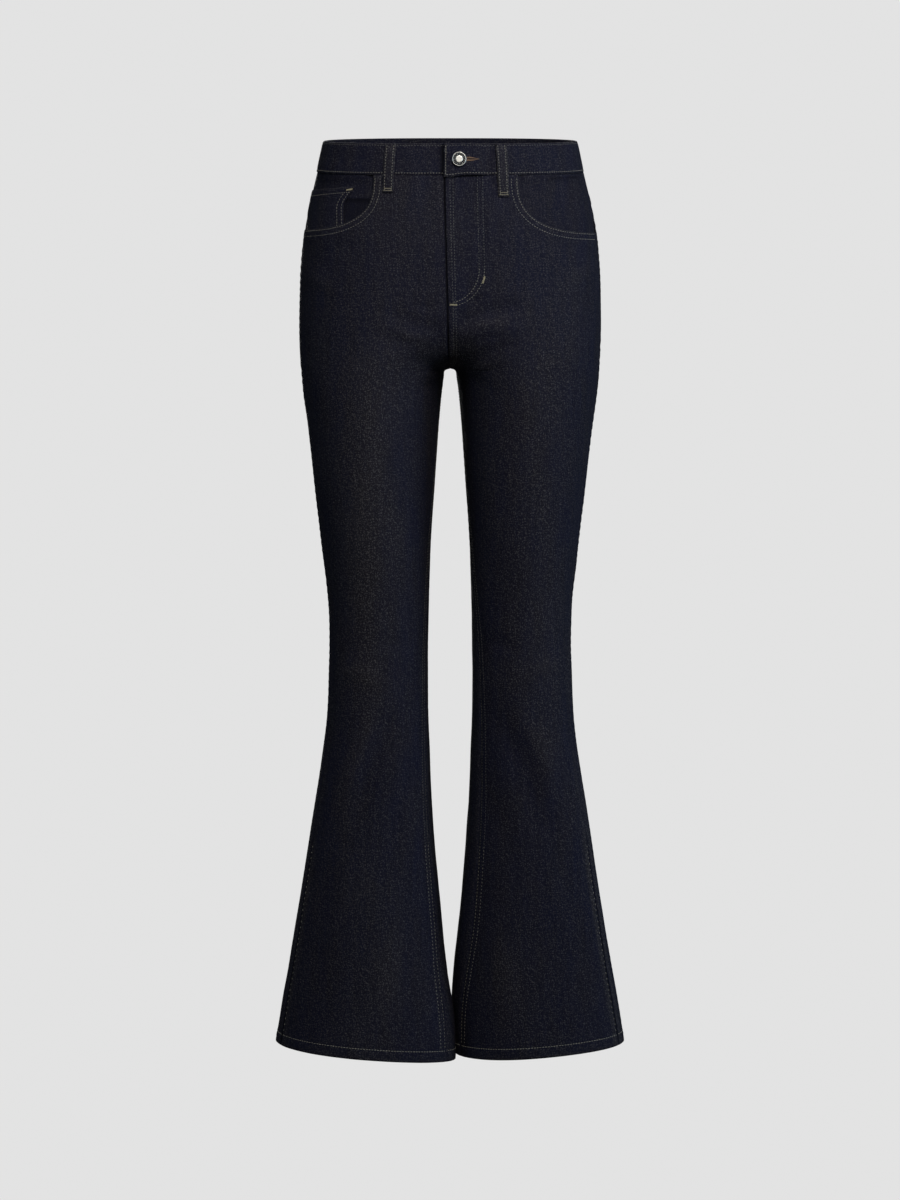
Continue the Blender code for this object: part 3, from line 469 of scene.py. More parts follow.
    def place(self, run: Array, z: Array) -> Array:
        """Find places on the bare surface.

        Args:
            run: Runs, which may pass the centre lines.
            z: Heights on the side seam.

        Returns:
            Points, with a last axis of 3.
        """
        run, z = np.broadcast_arrays(np.asarray(run, float), np.asarray(z, float))
        wrapped, mirrored = self._wrapped(run, z)
        front_run = self.front_run(z)
        back_run = self.whole_run(z) - front_run
        front = self._read(self.halves[Face.FRONT], wrapped / front_run, z)
        back = self._read(self.halves[Face.BACK], (front_run + back_run - wrapped) / back_run, z)
        x, y = np.moveaxis(np.where((wrapped <= front_run)[..., None], front, back), -1, 0)
        x = np.where(mirrored, -x, x)
        waist = smooth(z - WAIST_SLOPE_END, WAIST_SEAM - WAIST_SLOPE_END)
        flare = smooth(HEM_SLOPE_START - z, HEM_SLOPE_START - HEM)
        leg_middle = float(column("front_x", HEM))
        height = z + WAIST_SLOPE * y * waist + HEM_SLOPE * (x - leg_middle) * flare
        return np.stack((self.sign * x, y, height), axis=-1)

    def normal(self, run: Array, z: Array, step: float = 1.5) -> Array:
        """Find the outward direction of the bare surface."""
        along = self.place(run + step, z) - self.place(run - step, z)
        up = self.place(run, z + step) - self.place(run, z - step)
        return unit(self.sign * np.cross(along, up))

    def creased(self, run: Array, z: Array) -> Array:
        """Tell how far the fine creases and the cloth's own waviness lift a place."""
        run, z = np.broadcast_arrays(np.asarray(run, float), np.asarray(z, float))
        wrapped, _ = self._wrapped(run, z)
        on_front = wrapped <= self.front_run(z)
        x = self.sign * self.place(wrapped, z)[..., 0]
        lift = np.zeros_like(x)
        for crease in CREASES:
            if crease.side != self.sign:
                continue
            along = np.array((crease.x1 - crease.x0, crease.z1 - crease.z0), float)
            length = math.hypot(*along)
            along /= length
            dx, dz = x - crease.x0, z - crease.z0
            share = (dx * along[0] + dz * along[1]) / length
            across = dz * along[0] - dx * along[1] - crease.bow * 4.0 * share * (1.0 - share)
            taper = np.exp(-1.6 * np.clip(np.abs(share - 0.5) * 2.0, 0.0, 1.6) ** 2)
            gap = across / (crease.reach * (1.0 + 0.25 * np.tanh(across / crease.reach)))
            profile = np.exp(-(gap**2)) - 0.35 * np.exp(-((gap - 2.0) ** 2) / 1.6)
            here = on_front if crease.face < 0 else ~on_front
            lift += np.where(here, crease.height * taper * profile, 0.0)
        u = self.sign * wrapped
        soft = 0.55 * undulation(u / 46.0 + 20.0, z / 88.0 + 30.0)
        soft += 0.22 * undulation(u / 19.0 + 7.0, z / 30.0 + 50.0)
        fork = 1.0 - 0.8 * np.exp(-((z - FORK_Z) ** 2) / 60.0)
        return (lift + soft * fork) * smooth(-24.0 - z, 60.0)

    def lifted(self, run: Array, z: Array, lift: Array | float = 0.0) -> Array:
        """Find places at distances out from the creased surface, inward if negative."""
        run, z = np.broadcast_arrays(np.asarray(run, float), np.asarray(z, float))
        out = np.broadcast_to(lift, run.shape) + self.creased(run, z)
        return self.place(run, z) + self.normal(run, z) * out[..., None]

    def find(self, x: float, height: float, face: Face = Face.FRONT) -> Spot:
        """Find the run and the height on the side seam under a point seen square on.

        Args:
            x: The point's x.
            height: The point's z.
            face: The face that it is on.

        Returns:
            The run and the height on the side seam.
        """
        z, run = height, 0.0
        for _ in range(6):
            level = min(int(np.searchsorted(self.levels, z, "right")), len(self.levels) - 1)
            row = self.halves[face][level, :, 0]
            share = np.interp(abs(x), row, np.linspace(0.0, 1.0, self.samples))
            if face is Face.FRONT:
                run = float(share * self.front_run(z)) * (1.0 if x * self.sign >= 0 else -1.0)
            else:
                run = float(self.whole_run(z) - share * (self.whole_run(z) - self.front_run(z)))
            z += height - float(self.place(run, z)[2])
        return run, z


# --- Seams


def centre_front(form: HalfForm, z: Array | float) -> Array:
    """Give the run of the centre front or the fly's edge, and of the inseam below it."""
    twist = LEG_TWIST if form.side is Side.LEFT else 0.0
    inseam = column("inseam", z) + twist * smooth(FORK_Z - 100.0 - z, 300.0)
    return np.where(z > FORK_Z, -form.sign * turn_at(z), inseam)


def outseam(form: HalfForm, z: Array | float) -> Array:
    """Give the run of the seam down the side of the leg."""
    return form.front_run(z) - column("outseam", z) - form.sign * turn_at(z)


def centre_back(form: HalfForm, z: Array | float) -> Array:
    """Give the run of the centre back seam, and of the inseam below it."""
    return form.whole_run(z) + np.where(z > FORK_Z, 0.0, centre_front(form, z))


def yoke_level(form: HalfForm, run: Array, z: Array) -> Array:
    """Give the height of the yoke's seam, which falls from the side to the centre back."""
    start = outseam(form, z)
    return YOKE_SIDE + (YOKE_CENTRE - YOKE_SIDE) * (run - start) / (centre_back(form, z) - start)


# --- Meshes


def edges_of(face: tuple[int, ...]) -> zip:
    """List a face's edges, round from its first corner."""
    return zip(face, face[1:] + face[:1])


@dataclass
class Patch:
    """A piece of cloth laid out by run and height: its corners, and its faces."""

    run: Array
    z: Array
    faces: Faces

    @classmethod
    def grid(cls, run: Array, z: Array) -> "Patch":
        """Lay out a patch from grids of runs and heights, rows by columns."""
        run, z = np.broadcast_arrays(run, z)
        index = np.arange(run.size).reshape(run.shape)
        cells = np.stack((index[:-1, :-1], index[:-1, 1:], index[1:, 1:], index[1:, :-1]), axis=-1)
        return cls(run.ravel(), z.ravel(), [tuple(c) for c in cells.reshape(-1, 4).tolist()])

    def clipped(self, value: Array, snap: float = 0.18) -> "Patch":
        """Keep the part of the patch where a value is not below 0.

        Args:
            value: A value at each corner, about a distance from the cut.
            snap: The share of an edge within which a corner moves onto the cut.

        Returns:
            The part that is kept, with a clean cut edge.
        """
        value, run, z = value.copy(), self.run.copy(), self.z.copy()
        cut = {(min(a, b), max(a, b)) for face in self.faces for a, b in edges_of(face)
               if value[a] * value[b] < 0.0}
        for a, b in sorted(cut):
            if value[a] * value[b] >= 0.0:
                continue
            t = value[a] / (value[a] - value[b])
            near = a if t < snap else b if t > 1.0 - snap else None
            if near is not None:
                run[near], z[near] = run[a] + (run[b] - run[a]) * t, z[a] + (z[b] - z[a]) * t
                value[near] = 0.0
        runs, heights = run.tolist(), z.tolist()
        cuts: dict[tuple[int, int], int] = {}
        faces = []
        for face in self.faces:
            if max(value[k] for k in face) <= 0.0:
                continue
            kept: list[int] = []
            for a, b in edges_of(face):
                if value[a] >= 0.0:
                    kept.append(a)
                if value[a] * value[b] < 0.0:
                    low, high = min(a, b), max(a, b)
                    if (low, high) not in cuts:
                        t = value[low] / (value[low] - value[high])
                        cuts[low, high] = len(runs)
                        runs.append(run[low] + (run[high] - run[low]) * t)
                        heights.append(z[low] + (z[high] - z[low]) * t)
                    kept.append(cuts[low, high])
            if len(kept) >= 3:
                faces.append(tuple(kept))
        used = sorted({k for face in faces for k in face})
        order = {k: i for i, k in enumerate(used)}
        return Patch(np.array(runs)[used], np.array(heights)[used],
                     [tuple(order[k] for k in face) for face in faces])

    def rims(self) -> list[list[int]]:
        """List the open edges as closed loops of corners, in the faces' own direction."""
        inner = {(b, a) for face in self.faces for a, b in edges_of(face)}
        following = {a: b for face in self.faces for a, b in edges_of(face) if (a, b) not in inner}
        loops = []
        while following:
            start, at = following.popitem()
            loop = [start]
            while at != start:
                loop.append(at)
                at = following.pop(at)
            loops.append(loop)
        return loops


def mesh_piece(name: str, points: Array, faces: Faces, material: Material) -> Piece:
    """Make a smooth-shaded piece from points in millimetres, and ride it on the garment."""
    mesh = bpy.data.meshes.new(name)
    mesh.from_pydata((points * MM).tolist(), [], faces)
    mesh.shade_smooth()
    mesh.materials.append(material)
    piece = bpy.data.objects.new(name, mesh)
    bpy.context.scene.collection.objects.link(piece)
    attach(piece, "root")
    LOG.info("%s: %d faces", name, len(faces))
    return piece


def set_values(piece: Piece, name: str, values: Array) -> None:
    """Give a mesh a value at each point, for its material to read."""
    layer = piece.data.attributes.new(name, "FLOAT", "POINT")
    layer.data.foreach_set("value", values.astype(np.float32))


@dataclass
class Stitching:
    """Rows of topstitches, each stitch a small rounded capsule half sunk in the cloth."""

    pitch: float = 3.3
    gap: float = 1.6
    radius: float = 0.34
    tack_pitch: float = 0.55
    points: list[Array] = field(default_factory=list)
    faces: Faces = field(default_factory=list)

    SIDES = 6
    RINGS = ((0.0, 0.55), (0.16, 0.95), (0.5, 1.0), (0.84, 0.95), (1.0, 0.55))
    SHORTEST = 0.01

    def capsule(self, start: Array, end: Array, out: Array, radius: float) -> None:
        """Add one stitch from start to end, arched a little along the outward direction."""
        length = float(np.linalg.norm(end - start))
        if length < self.SHORTEST:
            return
        along = (end - start) / length
        sideways = unit(np.cross(out, along))
        up = np.cross(along, sideways)
        angle = math.tau * np.arange(self.SIDES)[:, None] / self.SIDES
        spokes = sideways * np.cos(angle) + up * np.sin(angle) * 0.9
        base, sides, last = len(self.points) * self.SIDES, self.SIDES, len(self.RINGS) - 1
        for share, width in self.RINGS:
            arch = radius * (1.6 * share * (1.0 - share) - 0.1)
            self.points.append(start + along * length * share + up * arch + spokes * radius * width)
        for i in range(base, base + last * sides, sides):
            for k in range(sides):
                a, b = i + k, i + (k + 1) % sides
                self.faces.append((a, b, b + sides, a + sides))
        self.faces.append(tuple(base + k for k in reversed(range(sides))))
        self.faces.append(tuple(base + last * sides + k for k in range(sides)))

    def row(self, path: Array, outward: Array) -> None:
        """Add a row of stitches along a path of points, with the outward direction at each."""
        run = np.concatenate(([0.0], np.cumsum(np.linalg.norm(np.diff(path, axis=0), axis=1))))
        number = max(1, int(round(run[-1] / self.pitch)))
        pitch = run[-1] / number
        begins = np.arange(number) * pitch + 0.5 * self.gap
        starts, ends, ups = (
            np.column_stack([np.interp(at, run, row) for row in values.T])
            for at, values in ((begins, path), (begins + pitch - self.gap, path), (begins, outward)))
        for start, end, up in zip(starts, ends, ups):
            self.capsule(start, end, up, self.radius)

    def tack(self, start: Array, end: Array, out: Array, width: float) -> None:
        """Add a bar tack: close satin threads lying across the line from start to end."""
        along = unit(end - start)
        across = unit(np.cross(out, along))
        number = max(3, int(round(float(np.linalg.norm(end - start)) / self.tack_pitch)))
        half = across * width * 0.5 + along * self.tack_pitch * 0.5
        for k in range(number + 1):
            middle = start + (end - start) * k / number + out * self.radius * 0.6
            self.capsule(middle - half, middle + half, out, self.radius * 0.9)

    def finish(self, name: str, thread: Material) -> Piece:
        """Join the stitches into one piece."""
        piece = mesh_piece(name, np.concatenate(self.points), self.faces, thread)
        return piece


# --- Finishes


@dataclass
class Graph:
    """A node tree under construction."""

    tree: Tree

    @classmethod
    def material(cls, name: str) -> tuple[Material, "Graph"]:
        """Start a material."""
        made = bpy.data.materials.new(name)
        made.use_nodes = True
        return made, cls(made.node_tree)

    @property
    def shader(self) -> bpy.types.Node:
        """Find the material's own shader."""
        return self.tree.nodes["Principled BSDF"]

    def node(self, kind: str, **settings: object) -> bpy.types.Node:
        """Add a node, with its properties set."""
        made = self.tree.nodes.new(kind)
        for name, value in settings.items():
            setattr(made, name, value)
        return made

    def feed(self, socket: Socket, value: object) -> None:
        """Set a socket to a value, or link another socket to it."""
        if isinstance(value, Socket):
            self.tree.links.new(value, socket)
        elif value is not None:
            socket.default_value = value

    def fill(self, node: bpy.types.Node, **values: object) -> bpy.types.Node:
        """Feed a node's inputs by name, with _ for a space."""
        for name, value in values.items():
            self.feed(node.inputs[name.replace("_", " ")], value)
        return node

    def math(self, operation: str, *values: object, clamp: bool = False) -> Socket:
        """Add a Math node on values or sockets, and give its output."""
        made = self.node("ShaderNodeMath", operation=operation, use_clamp=clamp)
        for socket, value in zip(made.inputs, values):
            self.feed(socket, value)
        return made.outputs[0]

    def mix(self, factor: object, *colors: object) -> Socket:
        """Mix two colours, and give the mixed one."""
        made = self.fill(self.node("ShaderNodeMix", data_type="RGBA"), Factor=factor)
        for socket, color in zip(made.inputs[6:8], colors):
            self.feed(socket, color if isinstance(color, Socket) else (*color, 1.0))
        return made.outputs[2]

    def noise(self, vector: object, scale: Color, detail: float = 2.0,
              roughness: float = 0.5) -> Socket:
        """Add noise over a stretched vector, and give its value, 0 to 1 about 0.5."""
        stretched = self.node("ShaderNodeVectorMath", operation="MULTIPLY")
        self.feed(stretched.inputs[0], vector)
        self.feed(stretched.inputs[1], scale)
        return self.fill(self.node("ShaderNodeTexNoise"), Vector=stretched.outputs[0], Scale=1.0,
                         Detail=detail, Roughness=roughness).outputs[0]

    def span(self, value: object, low: float, high: float, to_low: float = 0.0,
             to_high: float = 1.0) -> Socket:
        """Map a range of a value onto another, clamped."""
        made = self.node("ShaderNodeMapRange", clamp=True)
        return self.fill(made, Value=value, From_Min=low, From_Max=high, To_Min=to_low,
                         To_Max=to_high).outputs[0]

    def values(self, name: str) -> Socket:
        """Read the values that a mesh has at its points."""
        return self.node("ShaderNodeAttribute", attribute_type="GEOMETRY",
                         attribute_name=name).outputs["Fac"]

    def dress(self, color: Socket, roughness: Socket, height: Socket, strength: float,
              distance: float) -> None:
        """Feed the shader.

        Args:
            color: The base colour.
            roughness: The roughness.
            height: The relief.
            strength: How strongly the relief shows.
            distance: The relief's depth in metres.
        """
        bump = self.fill(self.node("ShaderNodeBump"), Strength=strength, Distance=distance,
                         Height=height)
        self.fill(self.shader, Base_Color=color, Roughness=roughness, Normal=bump.outputs[0])


def new_group(name: str, inputs: dict[str, tuple[str, float]], outputs: Sequence[str]) -> Graph:
    """Start a node group.

    Args:
        name: The group's name.
        inputs: Each input's kind (Float or Vector) and default.
        outputs: The outputs, all of them floats.

    Returns:
        The group's graph, with its input and output nodes in it.
    """
    tree = bpy.data.node_groups.new(name, "ShaderNodeTree")
    for label, (kind, default) in inputs.items():
        socket = tree.interface.new_socket(label, in_out="INPUT", socket_type=f"NodeSocket{kind}")
        if kind == "Float":
            socket.default_value = default
    for label in outputs:
        tree.interface.new_socket(label, in_out="OUTPUT", socket_type="NodeSocketFloat")
    graph = Graph(tree)
    graph.node("NodeGroupInput").name = "in"
    graph.node("NodeGroupOutput").name = "out"
    return graph


def twill_group() -> Tree:
    """Build the twill weave: slanting wales, uneven yarns and pale weft flecks."""
    graph = new_group(
        "Twill weave",
        {"Cloth": ("Vector", 0.0), "Wale": ("Float", 0.9 * MM), "Slant": ("Float", 1.15),
         "Slub": ("Float", 1.0)},
        ("Height", "Fleck", "Streak", "Tint"))
    given = graph.tree.nodes["in"].outputs
    cloth, slant = given["Cloth"], given["Slant"]
    split = graph.node("ShaderNodeSeparateXYZ")
    graph.feed(split.inputs[0], cloth)
    run, rise = split.outputs[:2]
    slanted = graph.math("SUBTRACT", rise, graph.math("MULTIPLY_ADD", run, slant, 0.0))
    phase = graph.math("DIVIDE", slanted, given["Wale"])
    phase = graph.math("MULTIPLY_ADD", graph.noise(cloth, (160.0, 60.0, 1.0), 1.0), 1.1, phase)
    wale = graph.math("SINE", graph.math("MULTIPLY", phase, math.tau))
    wale = graph.math("MULTIPLY_ADD", wale, 0.5, 0.5)
    yarn = graph.noise(cloth, (1500.0, 260.0, 1.0), 2.0, 0.6)
    streak = graph.noise(cloth, (420.0, 16.0, 1.0), 3.0, 0.65)
    thick = graph.noise(cloth, (34.0, 620.0, 1.0), 2.0, 0.55)
    uneven = graph.math("MULTIPLY", graph.math("SUBTRACT", streak, 0.5), given["Slub"])
    height = graph.math("MULTIPLY_ADD", yarn, 0.7, graph.math("MULTIPLY_ADD", uneven, 0.9, wale))
    lie = graph.node("ShaderNodeCombineXYZ")
    graph.feed(lie.inputs[0], slanted)
    graph.feed(lie.inputs[1], graph.math("MULTIPLY_ADD", rise, slant, run))
    speck = graph.math("MULTIPLY", graph.noise(lie.outputs[0], (770.0, 290.0, 1.0)), 0.44)
    for across, along, weight in ((860.0, 180.0, 0.18), (170.0, 880.0, 0.18), (880.0, 860.0, 0.20)):
        speck = graph.math("MULTIPLY_ADD", graph.noise(cloth, (across, along, 1.0)), weight, speck)
    graph.fill(
        graph.tree.nodes["out"],
        Height=graph.math("MULTIPLY_ADD", thick, 0.3, height),
        Fleck=graph.math("MULTIPLY", graph.span(speck, 0.512, 0.580),
                         graph.span(wale, 1.0, 0.0, 0.7, 1.0)),
        Streak=graph.span(graph.math("MULTIPLY_ADD", thick, 0.25, streak), 0.5, 0.8),
        Tint=graph.span(graph.noise(cloth, (42.0, 11.0, 1.0), 3.0, 0.6), 0.35, 0.65))
    return graph.tree


def wear_group() -> Tree:
    """Build abrasion and painted light: worn places and painted highlights given by the mesh, broken
    up by the cloth's unevenness, and painted shade where the mesh's value falls below 0.
    """
    graph = new_group(
        "Rubbed cloth",
        {"Cloth": ("Vector", 0.0), "Rub": ("Float", 0.0), "Amount": ("Float", 1.0)},
        ("Mask", "Deep"))
    given = graph.tree.nodes["in"].outputs
    blotch = graph.noise(given["Cloth"], (22.0, 14.0, 1.0), 3.0, 0.6)
    fine = graph.noise(given["Cloth"], (260.0, 90.0, 1.0), 2.0, 0.6)
    broken = graph.math("MULTIPLY_ADD", fine, 0.6, graph.math("MULTIPLY", blotch, 0.6))
    rub = graph.math("MULTIPLY", given["Rub"], graph.span(broken, 0.3, 0.85, 0.35, 1.25))
    graph.fill(graph.tree.nodes["out"],
               Mask=graph.math("MULTIPLY", rub, given["Amount"], clamp=True),
               Deep=graph.math("MULTIPLY", given["Rub"], -1.0, clamp=True))
    return graph.tree


@dataclass(frozen=True)
class ClothFinish:
    """A woven finish, in linear colours."""

    name: str
    warp: Color
    weft: Color
    # the colour that wear and painted highlights move the warp towards
    worn: Color
    flecks: float = 0.53         # how much of the weft shows
    streaks: float = 0.35
    wale: float = 0.9 * MM
    slant: float = 1.15
    bump: float = 0.35
    roughness: float = 0.9
    specular: float = 0.07

    # the warp's shades as shares of its colour: deep to bright, where the dye is cool and warm
    COOL = ((0.85, 0.9, 1.0), (1.1, 1.2, 1.3))
    WARM = ((1.05, 0.95, 0.78), (1.5, 1.35, 1.0))
    # painted shade: the share of the warp's colour that places below 0 darken towards
    HOLLOW = (0.3, 0.3, 0.3)
    UNEVEN = 0.18                # how far the share of flecks varies with the dye

    def shade(self, shares: Color) -> Color:
        """Give a shade of the warp."""
        return tuple(part * share for part, share in zip(self.warp, shares))

    def build(self, twill: Tree, worn_and_lit: Tree) -> Material:
        """Build the material from the shared groups.

        Args:
            twill: The twill weave group.
            worn_and_lit: The group that gives wear, painted highlights and painted shade.

        Returns:
            The material.
        """
        made, graph = Graph.material(self.name)
        cloth = graph.node("ShaderNodeUVMap", uv_map="cloth").outputs[0]
        weave = graph.fill(graph.node("ShaderNodeGroup", node_tree=twill), Cloth=cloth,
                           Wale=self.wale, Slant=self.slant).outputs
        abraded_and_lit = graph.fill(graph.node("ShaderNodeGroup", node_tree=worn_and_lit), Cloth=cloth,
                            Rub=graph.values("rub")).outputs
        cool, warm = (graph.mix(weave["Streak"], *map(self.shade, shades))
                      for shades in (self.COOL, self.WARM))
        # worn places and painted highlights: paler warp, and more weft showing
        warp = graph.mix(abraded_and_lit["Mask"], graph.mix(weave["Tint"], cool, warm), self.worn)
        share = graph.math("MULTIPLY", weave["Fleck"], graph.span(
            weave["Tint"], 0.0, 1.0, (1.0 - self.UNEVEN) * self.flecks,
            (1.0 + self.UNEVEN) * self.flecks))
        extra = graph.math("MULTIPLY", weave["Streak"], self.streaks * self.flecks)
        share = graph.math("ADD", share, graph.math("MULTIPLY", extra, weave["Fleck"]))
        more = graph.math("MULTIPLY_ADD", abraded_and_lit["Mask"], 1.2, 1.0)
        share = graph.math("MULTIPLY", share, more, clamp=True)
        woven = graph.mix(share, warp, self.weft)
        # painted shade where the mesh's value falls below 0
        graph.dress(graph.mix(abraded_and_lit["Deep"], woven, self.shade(self.HOLLOW)),
                    graph.span(weave["Streak"], 0.0, 1.0, self.roughness, self.roughness - 0.08),
                    weave["Height"], self.bump, 0.25 * MM)
        graph.fill(graph.shader, Specular_IOR_Level=self.specular)
        return made


@dataclass(frozen=True)
class ThreadFinish:
    """A sewing thread: twisted, slightly glossy, uneven in dye."""

    name: str
    light: Color
    dark: Color
    roughness: float = 0.6

    def build(self) -> Material:
        """Build the material."""
        made, graph = Graph.material(self.name)
        here = graph.node("ShaderNodeTexCoord").outputs["Object"]
        dye = graph.noise(here, (90.0, 90.0, 60.0), 3.0, 0.6)
        ply = graph.noise(here, (2600.0, 2600.0, 1800.0), 1.0)
        shade = graph.math("MULTIPLY_ADD", ply, 0.6, graph.math("MULTIPLY", dye, 0.7))
        graph.dress(graph.mix(graph.span(shade, 0.4, 0.9), self.dark, self.light),
                    graph.span(ply, 0.3, 0.7, self.roughness, self.roughness + 0.15),
                    ply, 0.4, 0.1 * MM)
        return made


@dataclass(frozen=True)
class MetalFinish:
    """An aged metal: bright on what stands out, dull in the hollows."""

    name: str
    bright: Color
    dull: Color
    roughness: float = 0.36

    def build(self) -> Material:
        """Build the material, with the hollows read from the mesh."""
        made, graph = Graph.material(self.name)
        here = graph.node("ShaderNodeTexCoord").outputs["Object"]
        tarnish = graph.noise(here, (500.0, 500.0, 500.0), 4.0, 0.65)
        scuffs = graph.noise(here, (3200.0, 900.0, 2400.0), 2.0, 0.6)
        dull = graph.math("ADD", graph.values("hollow"),
                          graph.span(tarnish, 0.5, 0.75, 0.0, 0.45), clamp=True)
        rough = graph.span(scuffs, 0.3, 0.7, self.roughness - 0.06, self.roughness + 0.08)
        graph.dress(graph.mix(dull, self.bright, self.dull),
                    graph.math("MULTIPLY_ADD", dull, 0.3, rough), scuffs, 0.25, 0.1 * MM)
        graph.fill(graph.shader, Metallic=1.0)
        return made


CLOTHS = (
    ClothFinish("denim", (0.0034, 0.0038, 0.0104), (0.049, 0.047, 0.051), (0.0115, 0.0105, 0.0125)),
    ClothFinish("denim reverse", (0.013, 0.013, 0.018), (0.060, 0.058, 0.058),
                (0.022, 0.021, 0.023), flecks=0.75, slant=-1.15, bump=0.25),
    ClothFinish("denim facing", (0.0031, 0.0035, 0.0098), (0.043, 0.040, 0.043),
                (0.009, 0.0085, 0.010)),
    ClothFinish("zip tape", (0.010, 0.010, 0.014), (0.02, 0.02, 0.024), (0.02, 0.02, 0.022),
                flecks=0.3, wale=1.4 * MM, slant=0.25, bump=0.5),
)
THREADS_AND_METALS = (
    ThreadFinish("topstitch thread", (0.155, 0.147, 0.122), (0.070, 0.066, 0.056)),
    ThreadFinish("seam thread", (0.036, 0.035, 0.031), (0.020, 0.020, 0.020)),
    ThreadFinish("bar tack thread", (0.20, 0.18, 0.115), (0.11, 0.095, 0.06)),
    ThreadFinish("buttonhole thread", (0.13, 0.070, 0.034), (0.055, 0.030, 0.017)),
    MetalFinish("button metal", (0.40, 0.395, 0.375), (0.022, 0.022, 0.024), 0.45),
    MetalFinish("zip metal", (0.55, 0.42, 0.2), (0.14, 0.10, 0.05)),
)


@dataclass(frozen=True)
class Finishes:
    """Every material of the jeans, in the order of the finishes above."""

    denim: Material
    reverse: Material
    facing: Material
    tape: Material
    thread: Material
    seam_thread: Material
    tack: Material
    buttonhole: Material
    button: Material
    zip_metal: Material

    @classmethod
    def build(cls) -> "Finishes":
        """Build the groups once, and the materials from them."""
        groups = (twill_group(), wear_group())
        return cls(*(finish.build(*groups) for finish in CLOTHS),
                   *(finish.build() for finish in THREADS_AND_METALS))


# --- Cloth pieces

Lift = Callable[[Array, Array], Array | float]
Placer = Callable[[Array, Array, Array | float], Array]


@dataclass
class ClothPiece:
    """One cut piece: its wall on the form, its sewing, and the solid that it replaces."""

    node: str
    form: HalfForm
    lift: Lift                   # how far the outer face stands out from the form
    finishes: Finishes
    flat: Spot                   # the cut's width and length
    share: float = 1.0           # the cut's area as a share of that rectangle
    place: Placer | None = None  # finds points, if not on the form itself
    slot: str = "denim"
    extras: list[Piece] = field(default_factory=list)
    piece: Piece = field(init=False)

    RIM = 0.32                   # how far a wall's rim bulges, as a share of its thickness
    # the rim's wear, and the share of the outside's wear and painted light that the inside takes
    RUBBED_RIM = 0.55
    RUBBED_INSIDE = 0.5

    def wall(self, patch: Patch, rub: Array, thickness: Array | float = WALL,
             materials: Sequence[Material] = (), half: Face | None = None,
             kind: str = "cloth") -> None:
        """Close a patch into a wall of cloth with a rounded rim.

        Args:
            patch: The piece's layout.
            rub: How worn each corner is, with painted highlights in places; below 0, painted shade.
            thickness: The cloth's thickness.
            materials: The outside's and the inside's, if they aren't the denim's own.
            half: The half that the cloth is cut along, if its thread is straight down the leg.
            kind: The last word of the piece's name.
        """
        place = self.place or self.form.lifted
        sign = self.form.sign
        across = self.form.across(patch.run, patch.z, half) if half else patch.run
        lift = np.broadcast_to(self.lift(patch.run, patch.z), patch.run.shape)
        outer = place(patch.run, patch.z, lift)
        inner = place(patch.run, patch.z, lift - thickness)
        middle, through = 0.5 * (outer + inner), outer - inner
        points, count = [outer, inner], len(patch.run)
        faces = [face if sign > 0 else face[::-1] for face in patch.faces]
        inside = [tuple(k + count for k in face[::-1]) for face in faces]
        rim: Faces = []
        total = 2 * count
        loops = Patch(patch.run, patch.z, faces).rims()
        for loop in loops:
            ahead = np.roll(middle[loop], -1, axis=0) - np.roll(middle[loop], 1, axis=0)
            outward = np.cross(unit(ahead), unit(through[loop]))
            bulge = self.RIM * np.linalg.norm(through[loop], axis=1)[:, None]
            points.append(middle[loop] + outward * bulge)
            n = len(loop)
            for i in range(n):
                j = (i + 1) % n
                a, b, m, k = loop[i], loop[j], total + i, total + j
                rim += [(b, a, m, k), (k, m, a + count, b + count)]
            total += n
        materials = materials or (self.finishes.denim, self.finishes.reverse)
        self.piece = mesh_piece(f"{self.node}_{kind}", np.concatenate(points),
                                faces + inside + rim, materials[0])
        mesh = self.piece.data
        if len(materials) > 1:
            mesh.materials.append(materials[1])
            slots = np.zeros(len(mesh.polygons), dtype=np.int32)
            slots[len(faces):2 * len(faces)] = 1
            mesh.polygons.foreach_set("material_index", slots)
        ids = np.concatenate((np.arange(count), np.arange(count), *loops)).astype(int)
        corners = np.empty(len(mesh.loops), dtype=np.int32)
        mesh.loops.foreach_get("vertex_index", corners)
        layout = np.column_stack((sign * across[ids], patch.z[ids]))[corners] * MM
        mesh.uv_layers.new(name="cloth").data.foreach_set("uv", layout.ravel())
        set_values(self.piece, "rub", np.concatenate(
            (rub, rub * self.RUBBED_INSIDE, np.full(total - 2 * count, self.RUBBED_RIM))))

    def at(self, run: Array, z: Array, extra: float = 0.0) -> tuple[Array, Array]:
        """Give points on the outer face and the outward directions there."""
        run, z = np.broadcast_arrays(np.asarray(run, float), np.asarray(z, float))
        place = self.place or self.form.lifted
        lift = np.broadcast_to(self.lift(run, z), run.shape) + extra
        points = place(run, z, lift)
        return points, unit(place(run, z, lift + 1.0) - points)

    def sew(self, stitching: Stitching, run: Array, z: Array | float, spacing: float = 1.5) -> None:
        """Sew a row along a line of runs and heights."""
        run, z = np.broadcast_arrays(run, z)
        along = np.concatenate(([0.0], np.cumsum(np.hypot(np.diff(run), np.diff(z)))))
        fine = np.linspace(0.0, along[-1], max(2, int(along[-1] / spacing)))
        stitching.row(*self.at(np.interp(fine, along, run), np.interp(fine, along, z)))

    def tack(self, stitching: Stitching, start: Spot, end: Spot, width: float) -> None:
        """Sew a bar tack between two places given by run and height."""
        points, outward = self.at(*np.array((start, end)).T)
        stitching.tack(points[0], points[1], unit(outward[0] + outward[1]), width)

    def add(self, name: str, stitching: Stitching, thread: Material) -> None:
        """Finish stitches that lie on the piece."""
        self.extras.append(stitching.finish(name, thread))

    def book(self, stitching: Stitching | None = None) -> None:
        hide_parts(self.node)
        if stitching is not None and stitching.points:
            self.add(f"{self.node}_stitching", stitching, self.finishes.thread)
        width, length = (size / 1000.0 for size in self.flat)
        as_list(self.extras)


